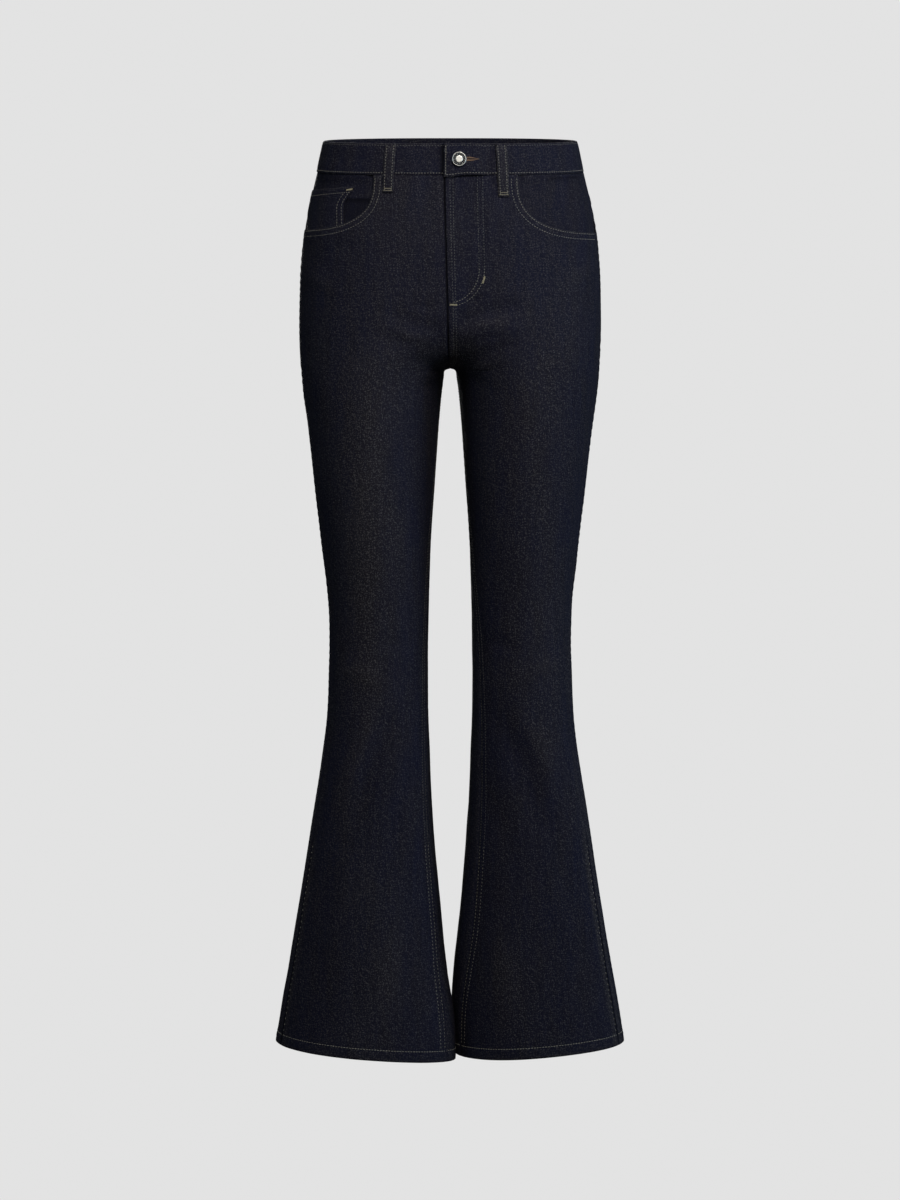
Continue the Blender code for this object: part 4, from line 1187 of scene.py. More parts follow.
def puckers(along: Array, across: Array, reach: float, height: float, phase: float) -> Array:
    """Lift cloth in small puckers beside a seam.

    Args:
        along: Distance along the seam.
        across: Distance from it.
        reach: How far they fade out.
        height: Their height.
        phase: Shifts them along.

    Returns:
        Lifts, least at the seam line itself.
    """
    swing = undulation(along / (3.1 * PUCKER_PITCH) + phase, phase)
    wave = np.sin(math.tau * along / PUCKER_PITCH + 3.0 * swing + phase)
    near = np.abs(across) / reach
    return height * wave * near * np.exp(1.0 - near) * (0.6 + 0.6 * swing)


def seam_roll(across: Array, width: float, height: float) -> Array:
    """Raise the cloth over a seam's turned layers, and roll it down at the seam line itself."""
    pad = height * (1.0 - smooth(np.abs(across) - width, 0.5 * width))
    return pad - (height + 0.25) * bell(across, 1.2)


# --- Legs


@dataclass
class Pocket:
    """A front pocket's opening: a quarter of a superellipse, seen square on."""

    form: HalfForm
    hem: float = 11.0
    raise_by: float = 0.35
    rows: Spot = (1.6, 7.6)
    reach_x: float = POCKET_SIDE_X - POCKET_TOP_X
    reach_z: float = field(init=False)
    far: float = 200.0           # what counts as far outside

    def __post_init__(self) -> None:
        """Set how low the opening reaches: the wearer's right one sits a little higher."""
        higher = 3.5 if self.form.side is Side.RIGHT else 0.0
        self.reach_z = WAIST_SEAM - POCKET_BOTTOM - higher

    @staticmethod
    def fall(z: Array | float) -> Array:
        """Tell how far the front stands below the side at a height."""
        return WAIST_SLOPE * POCKET_MEAN_Y * smooth(z - POCKET_BOTTOM, 70.0)

    def beyond(self, run: Array, z: Array) -> Array:
        """Tell how far places lie outside the opening, about a distance."""
        at = self.form.place(run, z)
        height = at[..., 2]
        for _ in range(4):
            height = at[..., 2] - self.fall(height)
        x = self.form.sign * (at[..., 0] + turn_at(height))
        n = POCKET_FULLNESS
        a = np.maximum(POCKET_SIDE_X - x, 0.0) / self.reach_x
        b = np.maximum(WAIST_SEAM - height, 0.0) / self.reach_z
        total = (a**n + b**n) ** (1.0 / n)
        slope = np.hypot(np.maximum(a, 1e-6) ** (n - 1) / self.reach_x,
                         np.maximum(b, 1e-6) ** (n - 1) / self.reach_z)
        slope /= np.maximum(total, 1e-3) ** (n - 1)
        value = (total - 1.0) / np.maximum(slope, 1.0 / self.far)
        return np.where(run > self.form.front_run(z) + 30.0, self.far, value)

    def edge(self, outside: float) -> tuple[Array, Array]:
        """Trace a line beside the opening.

        Args:
            outside: How far it keeps outside the edge.

        Returns:
            The line's runs and heights, from the waist seam to the side seam.
        """
        angle = np.radians(np.linspace(0.0, 89.0, 90))
        x = POCKET_SIDE_X - self.reach_x * np.cos(angle) ** (2.0 / POCKET_FULLNESS)
        z = WAIST_SEAM - self.reach_z * np.sin(angle) ** (2.0 / POCKET_FULLNESS)
        dx, dz = np.gradient(x), np.gradient(z)
        length = np.hypot(dx, dz)
        x, z = x + outside * dz / length, z - outside * dx / length
        keep = z < WAIST_SEAM - 0.5
        found = []
        for a, b in zip(x[keep], z[keep]):
            spot = self.form.find(self.form.sign * float(a) - float(turn_at(b)),
                                  float(b + self.fall(b)))
            if spot[0] > float(outseam(self.form, spot[1])) - 0.8:
                break
            found.append(spot)
        runs, levels = np.array(found).T
        return runs, levels


def panel_rows(top: float) -> Array:
    """List a leg panel's row heights, up from the hem, close together by the fork."""
    fold = HEM + HEM_HEIGHT
    hem = np.concatenate((np.linspace(HEM, fold, 8), fold + np.array((0.3, 0.8, 1.8))))
    near = FORK_Z + 20.0 * np.linspace(-1.0, 1.0, 21) ** 3 - 0.2
    leg = np.arange(hem[-1] + 2.6, near[0] - 1.6, 3.1)
    above = np.arange(near[-1] + 2.4, top - 1.0, 2.6)
    return np.concatenate((hem, leg, near, above, [top]))


def panel_runs(start: Array, end: Array, rows: Array, outer: float, count: int = 42) -> Array:
    """Lay out a panel's columns, crowding them only by its inner edge above the fork.

    Args:
        start: The inner edge's run at each row.
        end: The outer edge's run at each row.
        rows: The rows' heights.
        outer: The outer half's width at the top.
        count: Columns in each half.

    Returns:
        Runs, rows by columns.
    """
    half = 0.5 * (end - start)
    at_fork = float(np.interp(FORK_Z - 1.0, rows, half))
    outer = math.copysign(outer, at_fork)
    wide = at_fork + (outer - at_fork) * smooth(rows - FORK_Z, 110.0)
    wide = np.where(rows < FORK_Z, half, wide)
    even = np.linspace(0.0, 1.0, count + 1)
    inward = even[:0:-1]
    middle = end - wide
    uncut = np.where(rows > FORK_Z, at_fork, middle - start)
    lost = uncut - (middle - start)
    cut = np.abs(lost) > 1e-3
    crowding = np.where(cut, 0.85 * uncut / np.where(cut, lost, 1.0), 1.0)
    middle, uncut, lost, wide, crowding = (
        value[:, None] for value in (middle, uncut, lost, wide, crowding))
    inner = middle - uncut * inward + lost * inward**crowding
    return np.concatenate((inner, middle + wide * even), axis=1)


class Wear(NamedTuple):
    """How one leg is worn, and where light and shade are painted on it."""

    middle: float     # x of the band down the thigh
    band: float
    hip: float
    # painted light over the shaded groove just above the fork
    fork: float
    # painted highlight on a ridge beside the side seam, low on the leg
    ridge: float      # low beside the side seam


LEG_ABRASION_AND_LIGHT = {Side.LEFT: Wear(104.0, 0.28, 0.1, 0.95, 0.7), Side.RIGHT: Wear(92.0, 0.5, 0.18, 0.55, 0.35)}


@dataclass
class LegPanels:
    """The front and back panel of one leg, with hem, seams, fly and pocket edge."""

    form: HalfForm
    finishes: Finishes
    pocket: Pocket = field(init=False)
    fly_end: float = -170.0
    fly_straight: float = -128.0
    fly_depth: float = 39.0
    fly_edge_lift: float = 0.9
    fly_edge_width: float = 7.0
    fly_rows: Spot = (4.8, 8.0)
    fly_curve: Spot = (41.6, 35.6)
    fly_inner: float = 4.5
    sewn_low: float = -800.0
    facing_run: float = 130.0
    seat_run: float = 140.0
    back_stretch: float = -160.0
    hem_rib: float = 0.28
    hem_row: float = 12.4

    def __post_init__(self) -> None:
        """Prepare the pocket's opening."""
        self.pocket = Pocket(self.form)

    def hem_relief(self, run: Array, z: Array) -> Array:
        """Rope the hem: slanting ridges in the turned-up cloth, and its edge rolled."""
        from_edge = z - HEM
        inside = 1.0 - smooth(from_edge - HEM_HEIGHT, 1.5)
        slant = (run + 0.9 * from_edge) / 8.5
        ridge = np.sin(math.tau * slant + 2.5 * undulation(run / 22.0, 0.0))
        belly = np.sin(math.pi * np.clip(from_edge / HEM_HEIGHT, 0.0, 1.0))
        line = bell(from_edge - HEM_HEIGHT + 1.6, 1.3)
        return inside * belly * (self.hem_rib * ridge + 0.2) - 0.2 * line

    def seams_relief(self, run: Array, z: Array, inner: Array, inner_roll: float,
                     inner_wave: float, phase: float, shares: Sequence[Array | float]) -> Array:
        """Raise the seams down a panel, with the puckers beside them.

        Args:
            run: Runs.
            z: Heights on the side seam.
            inner: Distances from the inner seam.
            inner_roll: How high that seam's layers stand.
            inner_wave: How high its puckers are.
            phase: Shifts them along.
            shares: How much of the inner and of the outer seam shows.

        Returns:
            Lifts.
        """
        outer = run - outseam(self.form, z)
        by_inner = seam_roll(inner, 7.0, inner_roll) + puckers(z, inner, 6.0, inner_wave, phase)
        by_outer = seam_roll(outer, 6.0, 0.3) + puckers(z, outer, 7.0, 0.32, 5.0 - self.form.sign)
        return smooth(z - HEM - HEM_HEIGHT, 6.0) * (shares[0] * by_inner + shares[1] * by_outer)

    def fly_relief(self, run: Array, z: Array) -> Array:
        """Raise the left front along the fly's edge, and bed the fly's stitches in it."""
        inner = run - centre_front(self.form, z)
        along, level = self.fly_line(self.fly_curve[0])
        line = run - np.interp(z, level[::-1], along[::-1], left=0.0, right=0.0)
        edge = 1.0 - smooth(inner - self.fly_edge_width, 2.0 * self.fly_edge_width)
        lift = self.fly_edge_lift * edge * smooth(z - self.fly_end, 20.0)
        lift += 0.5 * smooth(z - FORK_Z, 8.0) * bell(inner - 2.5, 3.5)
        bed = puckers(z, line, 6.0, 0.18, 3.0) - 0.25 * bell(line, 1.6)
        return lift + bed * ((z > self.fly_end - 10.0) & (z < WAIST_SEAM))

    def front_lift(self, run: Array, z: Array) -> Array:
        """Give the lift of the front panel's outer face."""
        inner = run - centre_front(self.form, z)
        shares = (1.0 - smooth(z - FORK_Z + 4.0, 4.0), smooth(POCKET_BOTTOM - 6.0 - z, 8.0))
        lift = self.hem_relief(run, z)
        lift += self.seams_relief(run, z, inner, 0.4, 0.30, 2.0 + self.form.sign, shares)
        lift += puckers(run, WAIST_SEAM - z, 7.0, 0.22, 7.0) * (z > WAIST_SEAM - 50.0)
        lift -= 0.25 * (1.0 - smooth(WAIST_SEAM - z, 1.5))
        if self.form.side is Side.LEFT:
            lift += self.fly_relief(run, z)
        else:
            lift -= 0.9 * smooth(z - FORK_Z, 6.0) * bell(inner, 2.4)
        beyond = self.pocket.beyond(run, z)
        edge = self.pocket.raise_by * (1.0 - smooth(beyond - self.pocket.hem, 3.0))
        edge -= 0.18 * sum(bell(beyond - row, 1.1) for row in self.pocket.rows)
        edge += puckers(run - 0.8 * z, beyond - 9.0, 5.0, 0.22, 9.0) * (beyond < 30.0)
        return lift + edge * (z > POCKET_BOTTOM - 40.0)

    def back_lift(self, run: Array, z: Array) -> Array:
        """Give the lift of the back panel's outer face."""
        inner = run - centre_back(self.form, z)
        lift = self.hem_relief(run, z)
        lift += self.seams_relief(run, z, inner, 0.35, 0.28, 11.0 + self.form.sign, (1.0, 1.0))
        return lift - 0.3 * bell(yoke_level(self.form, run, z) - z, 1.4) * (z > -130.0)

    def rub(self, run: Array, z: Array, face: Face) -> Array:
        """Tell how worn the cloth is, with a faint band down the thigh and proud seams, and where
        light and shade are painted: painted light above the fork, painted shadow by the fly's edge
        and down the inside of the left leg, and a painted highlight and dark line at the outseam low
        on the leg.
        """
        form, worn_and_lit = self.form, LEG_ABRASION_AND_LIGHT[self.form.side]
        x = form.sign * form.place(run, z)[..., 0]
        seam = centre_front(form, z) if face is Face.FRONT else centre_back(form, z)
        inner, outer = run - seam, run - outseam(form, z)
        down = smooth(-180.0 - z, 120.0) * (1.0 - smooth(-z - 560.0, 200.0))
        band = bell(x - worn_and_lit.middle, 30.0) * np.maximum(down, 0.35 * smooth(-z - 700.0, 150.0))
        rub = worn_and_lit.band * (1.0 if face is Face.FRONT else 0.6) * band
        for edge in (inner, outer):
            rub += 0.22 * bell(np.abs(edge) - 5.5, 3.0) * np.where(z < FORK_Z, 1.0, 0.6)
        rub += 0.45 * bell(z - HEM, 2.5) + 0.35 * np.clip(form.creased(run, z) / 1.2, 0.0, 1.0)
        if face is Face.FRONT:
            rub += worn_and_lit.hip * smooth(z + 330.0, 90.0) * bell(x - 75.0, 50.0)
            # painted light: lightens the shaded groove just above the fork
            rub += worn_and_lit.fork * bell(z - FORK_Z - 16.0, 18.0) * bell(x, 32.0)
            # painted shadow beside the fly's edge on the right front; painted shade down the inside
            # of the left leg below the fork
            if form.side is Side.RIGHT:
                rub -= 1.2 * smooth(z - FORK_Z, 20.0) * bell(inner - 0.8, 1.9)
            else:
                rub -= 0.4 * smooth(FORK_Z - z, 50.0) * bell(inner, 16.0)
        # painted highlight on a ridge beside the outseam, and a painted dark line at the seam itself,
        # low on the leg
        low = smooth(-760.0 - z, 80.0)
        return rub + low * (worn_and_lit.ridge * bell(np.abs(outer) - 5.5, 3.5) - 1.2 * bell(outer, 1.7))

    def fly_line(self, out: float, count: int = 60) -> tuple[Array, Array]:
        """Trace the fly's outer stitch line: straight down, then curving in to the edge.

        Args:
            out: The line's distance from the fly's edge at the top.
            count: Points in each part.

        Returns:
            Runs and heights, from the waist seam downward.
        """
        share = np.linspace(0.0, 1.0, count)
        z = WAIST_SEAM - 0.5 + (self.fly_straight - WAIST_SEAM) * share
        angle = 0.5 * math.pi * share
        depth = self.fly_depth + (out - self.fly_curve[1]) * 0.7
        curve_z = self.fly_straight - depth * np.sin(angle)
        curve = self.fly_inner + (out - self.fly_inner) * np.cos(angle) ** 1.15
        run = centre_front(self.form, z) + out
        curve_run = centre_front(self.form, curve_z) + curve
        return np.concatenate((run, curve_run[1:])), np.concatenate((z, curve_z[1:]))

    def _panel(self, face: Face, lift: Lift, flat: Spot, share: float, patch: Patch,
               rub: Array) -> ClothPiece:
        """Make one panel, its cloth double at the hem."""
        made = ClothPiece(f"{face.name.lower()}_{self.form.side.word}", self.form, lift,
                          self.finishes, flat, share)
        thickness = WALL + (HEM_WALL - WALL) * (patch.z < HEM + HEM_HEIGHT + 0.1)
        made.wall(patch, rub, thickness, half=face)
        return made

    def build_front(self) -> None:
        """Build and dress the front panel."""
        form = self.form
        rows = panel_rows(WAIST_SEAM - SEAM_GAP)
        run = panel_runs(centre_front(form, rows) + 0.5 * SEAM_GAP,
                         outseam(form, rows) - 0.5 * SEAM_GAP, rows, self.facing_run)
        patch = Patch.grid(run, rows[:, None])
        patch = patch.clipped(self.pocket.beyond(patch.run, patch.z))
        edge = bell(self.pocket.beyond(patch.run, patch.z), 2.0) * (patch.z > POCKET_BOTTOM - 30.0)
        rub = self.rub(patch.run, patch.z, Face.FRONT) + 0.5 * edge
        front = self._panel(Face.FRONT, self.front_lift, (310.0, 1060.0), 0.62, patch, rub)
        stitching = Stitching()
        for row in self.pocket.rows:
            front.sew(stitching, *self.pocket.edge(row))
        self._sew_hem(front, centre_front)
        self._sew_seams(front)
        if form.side is Side.LEFT:
            self._sew_fly(front, stitching)
        front.book(stitching)

    def _sew_hem(self, panel: ClothPiece, seam: Callable[[HalfForm, Array], Array]) -> None:
        """Sew a panel's hem row, its stitches close together."""
        level = HEM + self.hem_row
        run = np.linspace(float(seam(self.form, level)), float(outseam(self.form, level)), 160)
        hem = Stitching(gap=0.9, radius=0.40)
        panel.sew(hem, run[1:-1], level)
        panel.add(f"hem_{panel.node}_stitching", hem, self.finishes.thread)

    def _sew_seams(self, front: ClothPiece) -> None:
        """Sew the front's double rows beside the inseam, and the loose row low at the outseam."""
        form, foot = self.form, HEM + 15.0
        upper, lower, loose = Stitching(), Stitching(4.2, 2.4), Stitching(7.0, 4.9)
        for low, high, sewn in ((foot, self.sewn_low, lower), (self.sewn_low, FORK_Z - 6.0, upper)):
            leg = np.linspace(low, high, 100)
            for row in SEAM_ROWS:
                front.sew(sewn, centre_front(form, leg) + row, leg)
        side = np.linspace(foot, self.sewn_low, 100)
        front.sew(loose, outseam(form, side) - 2.4, side)
        thread, word = self.finishes.thread, form.side.word
        front.add(f"inseam_{word}_stitching", upper, self.finishes.seam_thread)
        front.add(f"inseam_low_{word}_stitching", lower, thread)
        front.add(f"outseam_{word}_stitching", loose, thread)

    def _sew_fly(self, front: ClothPiece, stitching: Stitching) -> None:
        """Sew the fly: faint rows down it, its curve, and its two bar tacks."""
        faint, tacks = Stitching(), Stitching()
        rise = np.linspace(WAIST_SEAM - 1.0, FORK_Z + 4.0, 80)
        for row in self.fly_rows:
            front.sew(faint, centre_front(self.form, rise) + row, rise)
        for out in self.fly_curve:
            run, z = self.fly_line(out)
            front.sew(faint, run[:60], z[:60])
            front.sew(stitching, run[59:], z[59:])
        front.add("fly_stitching", faint, self.finishes.seam_thread)
        for base, (start, low), (end, high), width in (
                (-150.0, (41.3, -138.0), (39.0, -145.5), 1.9),
                (self.fly_end, (1.6, self.fly_end), (9.0, self.fly_end), 2.0)):
            edge = float(centre_front(self.form, base))
            front.tack(tacks, (edge + start, low), (edge + end, high), width)
        front.add("fly_bar_tacks", tacks, self.finishes.tack)

    def build_back(self) -> None:
        """Build and dress the back panel."""
        form, gap = self.form, 0.5 * SEAM_GAP
        rows = panel_rows(YOKE_CENTRE)
        run = panel_runs(centre_back(form, rows) - gap, outseam(form, rows) + gap, rows,
                         self.seat_run)
        z = rows[:, None]
        part = np.clip((z - self.back_stretch) / (YOKE_CENTRE - self.back_stretch), 0.0, 1.0)
        share = (run - run[:, :1]) / (run[:, -1:] - run[:, :1])
        z = z + (yoke_level(form, run, z) - gap - YOKE_CENTRE) * part
        inner, outer = centre_back(form, z) - gap, outseam(form, z) + gap
        run = inner + (outer - inner) * share
        patch = Patch.grid(run[:, ::-1], z[:, ::-1])
        back = self._panel(Face.BACK, self.back_lift, (350.0, 1010.0), 0.79, patch,
                           self.rub(patch.run, patch.z, Face.BACK))
        stitching = Stitching()
        if form.side is Side.LEFT:
            sew_seat(back, stitching, FORK_Z + 4.0, YOKE_CENTRE - 1.0, 80)
        level = np.full(80, 0.5 * (YOKE_SIDE + YOKE_CENTRE))
        start, end = outseam(form, level), centre_back(form, level)
        run = start + (end - start) * np.linspace(0.01, 0.99, 80)
        for row in SEAM_ROWS:
            back.sew(stitching, run, yoke_level(form, run, level) - row)
        self._sew_hem(back, centre_back)
        back.book(stitching)

    def build(self) -> None:
        """Build both panels."""
        self.build_front()
        self.build_back()


def sew_seat(piece: ClothPiece, stitching: Stitching, low: float, high: float, count: int) -> None:
    """Sew the double row beside the centre back seam between two heights."""
    rise = np.linspace(low, high, count)
    for row in SEAM_ROWS:
        piece.sew(stitching, centre_back(piece.form, rise) - row, rise)


# --- Trim


@dataclass
class Yoke:
    """One half of the back yoke, between the back panel and the waistband."""

    form: HalfForm
    finishes: Finishes
    flat: Spot = (250.0, 75.0)

    def lift(self, run: Array, z: Array) -> Array:
        """Give the lift of the yoke's outer face."""
        low = z - yoke_level(self.form, run, z)
        lift = seam_roll(low, 9.0, 0.3) + puckers(run, low, 6.0, 0.24, 1.5)
        lift += seam_roll(run - centre_back(self.form, z), 7.0, 0.3)
        lift += seam_roll(run - outseam(self.form, z), 6.0, 0.25)
        lift += puckers(run, WAIST_SEAM - z, 6.0, 0.22, 3.3)
        return lift - 0.25 * (1.0 - smooth(WAIST_SEAM - z, 1.5))

    def build(self) -> None:
        """Build and dress the yoke."""
        form, gap = self.form, 0.5 * SEAM_GAP
        share = np.linspace(0.0, 1.0, 64)
        middle = np.full_like(share, 0.5 * (YOKE_SIDE + WAIST_SEAM))
        start, end = outseam(form, middle), centre_back(form, middle)
        low = yoke_level(form, start + (end - start) * share, middle) + gap
        z = low + (WAIST_SEAM - SEAM_GAP - low) * np.linspace(0.0, 1.0, 22)[:, None]
        start = outseam(form, z) + gap
        patch = Patch.grid(start + (centre_back(form, z) - gap - start) * share, z)
        low = patch.z - yoke_level(form, patch.run, patch.z)
        yoke = ClothPiece(f"yoke_{form.side.word}", form, self.lift, self.finishes, self.flat, 0.72)
        yoke.wall(patch, 0.3 * bell(low - 5.0, 3.0) + 0.05)
        stitching = Stitching()
        if form.side is Side.LEFT:
            sew_seat(yoke, stitching, YOKE_CENTRE + 1.5, WAIST_SEAM - 2.0, 40)
        yoke.book(stitching)


@dataclass
class PocketFacing:
    """The facing that shows in a front pocket's opening, and the coin pocket on the right one."""

    form: HalfForm
    finishes: Finishes
    bottom: float = -118.0
    width: float = 130.0
    depth: float = 1.6
    coin_wall: float = 1.0
    coin_gap: float = 0.45
    coin_sink: float = 1.0
    coin_top: float = -31.5
    coin_bottom: float = -104.0
    coin_fall: float = 8.4
    coin_width: float = 97.5
    coin_hem_row: float = 6.4
    coin_side_rows: Spot = (2.0, 8.8)
    fold_level: float = -43.5
    coin_bends: tuple[Spot, ...] = (
        (-84.0, 5.5), (-74.0, 4.0), (-62.0, -0.5), (-53.0, -3.6), (-46.0, -1.8), (-38.0, 2.2),
        (-31.0, 3.2))

    def depth_at(self, run: Array, z: Array) -> Array:
        """Tell how deep the facing lies: level with the yoke at the side, under the front."""
        right = self.form.side is Side.RIGHT
        deep = self.depth + (self.coin_wall + self.coin_gap if right else 0.0)
        sink = self.coin_sink if right else 0.0
        by_side = smooth(run - outseam(self.form, z) + 42.0, 38.0)
        deep = deep + (sink - deep) * by_side * smooth(z - POCKET_BOTTOM - 7.0, 20.0)
        open_here = smooth(-2.5 - Pocket(self.form).beyond(run, z), 6.0)
        return deep * (1.0 - 0.8 * open_here * smooth(z - WAIST_SEAM + 12.0, 10.0))

    def lift(self, run: Array, z: Array) -> Array:
        """Give the lift of the facing's outer face."""
        wave = 0.25 * undulation(run / 14.0 + 3.0, z / 17.0 + 9.0)
        return wave - 0.25 - self.depth_at(run, z) - 0.2 * bell(run - outseam(self.form, z), 1.5)

    def rub(self, run: Array, z: Array) -> Array:
        """Give the facing's wear and painted light: on the right, a painted shadow below a fold past
        the coin pocket's inner edge, with a painted highlight along the fold; on the left, painted
        shade along a wavy fold under the band.
        """
        inner = outseam(self.form, z) - run - self.coin_width
        if self.form.side is Side.RIGHT:
            # painted shadow below the fold, with a painted highlight just along its top
            under = self.fold_level - z
            shadow_falloff = 1.0 - 0.5 * smooth(under - 2.0, 7.0)
            shade = 0.4 * bell(under + 1.6, 1.2) - 0.95 * smooth(under, 1.5) * shadow_falloff
            return 0.05 + shade * smooth(inner + 8.0, 2.0)
        # painted shade along a wavy fold under the band
        wave = z + 22.5 + 1.1 * np.sin(math.tau * run / 27.0)
        along = smooth(inner + 75.0, 12.0) * smooth(-5.0 - inner, 12.0)
        return 0.05 - 0.75 * along * bell(wave, 1.3)

    def coin_lift(self, run: Array, z: Array) -> Array:
        """Give the lift of the coin pocket's outer face."""
        top = self.top_at(run, z) - z
        inner = self.width_at(z) - (outseam(self.form, z) - run)
        hem = 0.25 * (1.0 - smooth(top - 10.0, 2.0)) - 0.15 * bell(top - 6.2, 1.2)
        pad = 0.2 * (1.0 - smooth(inner - 9.0, 3.0))
        base = self.coin_gap + self.coin_wall - self.depth_at(run, z)
        return base + hem + pad + puckers(run, top, 6.0, 0.16, 4.0)

    def width_at(self, z: Array | float) -> Array:
        """Give the coin pocket's width, its inner edge bending in and out a little."""
        levels, bends = zip(*self.coin_bends)
        return self.coin_width + rounded(z, levels, bends, 4.0)

    def top_at(self, run: Array, z: Array) -> Array:
        """Give the height of the coin pocket's top edge, which falls towards the side."""
        share = (run - (outseam(self.form, z) - self.coin_width)) / self.coin_width
        return self.coin_top - self.coin_fall * np.clip(share, 0.0, 1.0)

    def build(self) -> None:
        """Build the facing, and the coin pocket on the wearer's right."""
        form = self.form
        z = np.linspace(self.bottom, WAIST_SEAM - SEAM_GAP, 44)[:, None]
        end = outseam(form, z) - 0.5 * SEAM_GAP
        patch = Patch.grid(end - self.width * np.linspace(1.0, 0.0, 50), z)
        facing = ClothPiece(f"pocket_facing_{form.side.word}", form, self.lift, self.finishes,
                            (132.0, 102.0))
        facing.wall(patch, self.rub(patch.run, patch.z), half=Face.FRONT,
                    materials=(self.finishes.facing, self.finishes.reverse))
        facing.book()
        if form.side is Side.RIGHT:
            self.build_coin_pocket()

    def build_coin_pocket(self) -> None:
        """Build and sew the coin pocket."""
        form = self.form
        left = 1.0 - np.linspace(0.0, 1.0, 36)
        z = np.full((34, 36), self.coin_bottom)
        run = outseam(form, z) - 1.5 * SEAM_GAP - (self.coin_width - SEAM_GAP) * left
        z = z + (self.top_at(run, z) - z) * np.linspace(0.0, 1.0, 34)[:, None]
        run = outseam(form, z) - 1.5 * SEAM_GAP - (self.width_at(z) - SEAM_GAP) * left
        patch = Patch.grid(run, z)
        coin = ClothPiece("coin_pocket", form, self.coin_lift, self.finishes, (98.0, 73.0), 0.93)
        edge = bell(self.top_at(patch.run, patch.z) - patch.z, 1.6)
        coin.wall(patch, 0.5 * edge + 0.05, self.coin_wall)
        stitching, tacks = Stitching(), Stitching()
        level = np.full(60, self.coin_top)
        run = outseam(form, level) - np.linspace(2.5, self.coin_width - 1.0, 60)
        coin.sew(stitching, run, self.top_at(run, level) - self.coin_hem_row)
        down = np.linspace(self.coin_top - 8.0, -84.0, 50)
        for row in self.coin_side_rows:
            coin.sew(stitching, outseam(form, down) - self.width_at(down) + row, down)
        corner = float(outseam(form, self.coin_top) - self.width_at(self.coin_top))
        coin.tack(tacks, (corner + 1.0, self.coin_top - 3.0),
                  (corner + 9.0, self.coin_top - 4.2), 1.9)
        coin.add("coin_pocket_bar_tack", tacks, self.finishes.tack)
        coin.book(stitching)


@dataclass
class Waistband:
    """The waistband, its left end lapping over its right, with its buttonhole."""

    forms: dict[Side, HalfForm]
    finishes: Finishes
    thickness: float = 2.7
    lift: float = 0.8
    underlap: float = 32.0
    overhang: float = 1.2
    ramp: float = 16.0
    seam_row: float = 1.9
    top_row: float = 2.0
    button_from_end: float = 16.2
    half: float = field(init=False)
    begin: float = field(init=False)

    def __post_init__(self) -> None:
        """Measure half the ring, and find where the band begins."""
        self.half = float(self.forms[Side.LEFT].whole_run(0.0))
        self.begin = -TURN - self.overhang

    def place(self, along: Array, z: Array, lift: Array | float) -> Array:
        """Find places on the waist ring; past the centre back they lie on the right half."""
        q = np.where(along > self.half, along - 2.0 * self.half, along)
        hang = 2.4 * smooth(1.0 - (along + TURN) / 24.0)
        z = z - hang * (WAIST_TOP - z) / (WAIST_TOP - WAIST_SEAM)
        run = np.abs(q) * self.forms[Side.LEFT].whole_run(z) / self.half
        left, right = (self.forms[side].lifted(run, z, lift) for side in Side)
        return np.where((q >= 0.0)[..., None], left, right)

    def raised(self, along: Array, z: Array) -> Array:
        """Give the lift of the band's outer face, with its ridges and puckers."""
        over = 1.0 - smooth(along + TURN - self.underlap - 2.0, self.ramp)
        lift = self.lift + (self.thickness + SEAM_GAP) * over
        low, high = z - WAIST_SEAM, WAIST_TOP - z
        for line, start, wave, phase in ((low - self.seam_row, 0.0, 0.22, 2.0),
                                         (high - self.top_row, 4.0, 0.18, 6.0)):
            lift = lift - 0.22 * bell(line, 1.3) + puckers(along + start, line, 6.0, wave, phase)
        pull = undulation((along + 0.8 * z) / 15.0 + 11.0, z / 40.0 + 2.0)
        lift += 0.28 * pull * np.sin(math.pi * np.clip(low / (low + high), 0.0, 1.0))
        return lift - 0.5 * smooth(3.0 - high, 3.0)

    def build(self) -> None:
        """Build and dress the waistband."""
        end = 2.0 * self.half - TURN + self.underlap
        levels = np.concatenate((np.linspace(WAIST_SEAM, WAIST_TOP - 1.6, 15),
                                 WAIST_TOP - np.array((0.8, 0.25))))
        patch = Patch.grid(np.linspace(self.begin, end, 340), levels[:, None])
        band = ClothPiece("waistband", self.forms[Side.LEFT], self.raised, self.finishes,
                          (820.0, 35.0), place=self.place)
        rub = 0.4 * bell(WAIST_TOP - patch.z, 2.0) + 0.25 * bell(patch.z - WAIST_SEAM, 1.5)
        rub += 0.5 * bell(patch.run - self.begin, 1.5)
        # painted shadow on the band just beside the end that laps over it
        beside = self.begin + 2.0 * self.half - patch.run
        rub -= 1.3 * bell(beside - 1.5, 3.2) * (beside > -1.5)
        band.wall(patch, rub, self.thickness, (self.finishes.denim,))
        main_row, faint = Stitching(), Stitching()
        ending = Stitching(pitch=2.9, gap=0.9, radius=0.45)
        edge, low, high = self.begin + 1.3, WAIST_SEAM + self.seam_row, WAIST_TOP - self.top_row
        across = np.linspace(edge, end - 2.0, 700)
        band.sew(main_row, across, low)
        band.sew(faint, across, high)
        band.sew(ending, edge, np.linspace(low, high, 20))
        self.sew_buttonhole(band, self.begin + self.button_from_end)
        band.add("waistband_top_stitching", faint, self.finishes.seam_thread)
        band.add("waistband_end_stitching", ending, self.finishes.thread)
        band.book(main_row)

    def sew_buttonhole(self, band: ClothPiece, start: float) -> None:
        """Sew the keyhole buttonhole that the button passes through, from its round end."""
        stitching = Stitching(radius=0.26)
        length, reach, half, round_end = 22.5, 2.4, 0.5, 12.0
        for s in np.arange(0.0, length, 0.5):
            taper = 1.0 - 0.8 * float(smooth(s - round_end, length - round_end))
            for side in (taper, -taper):
                points, out = band.at(np.full(2, start + s), np.array((half, reach)) * side, 0.12)
                stitching.capsule(points[0], points[1], out[0], stitching.radius)
        band.add("buttonhole_stitching", stitching, self.finishes.buttonhole)


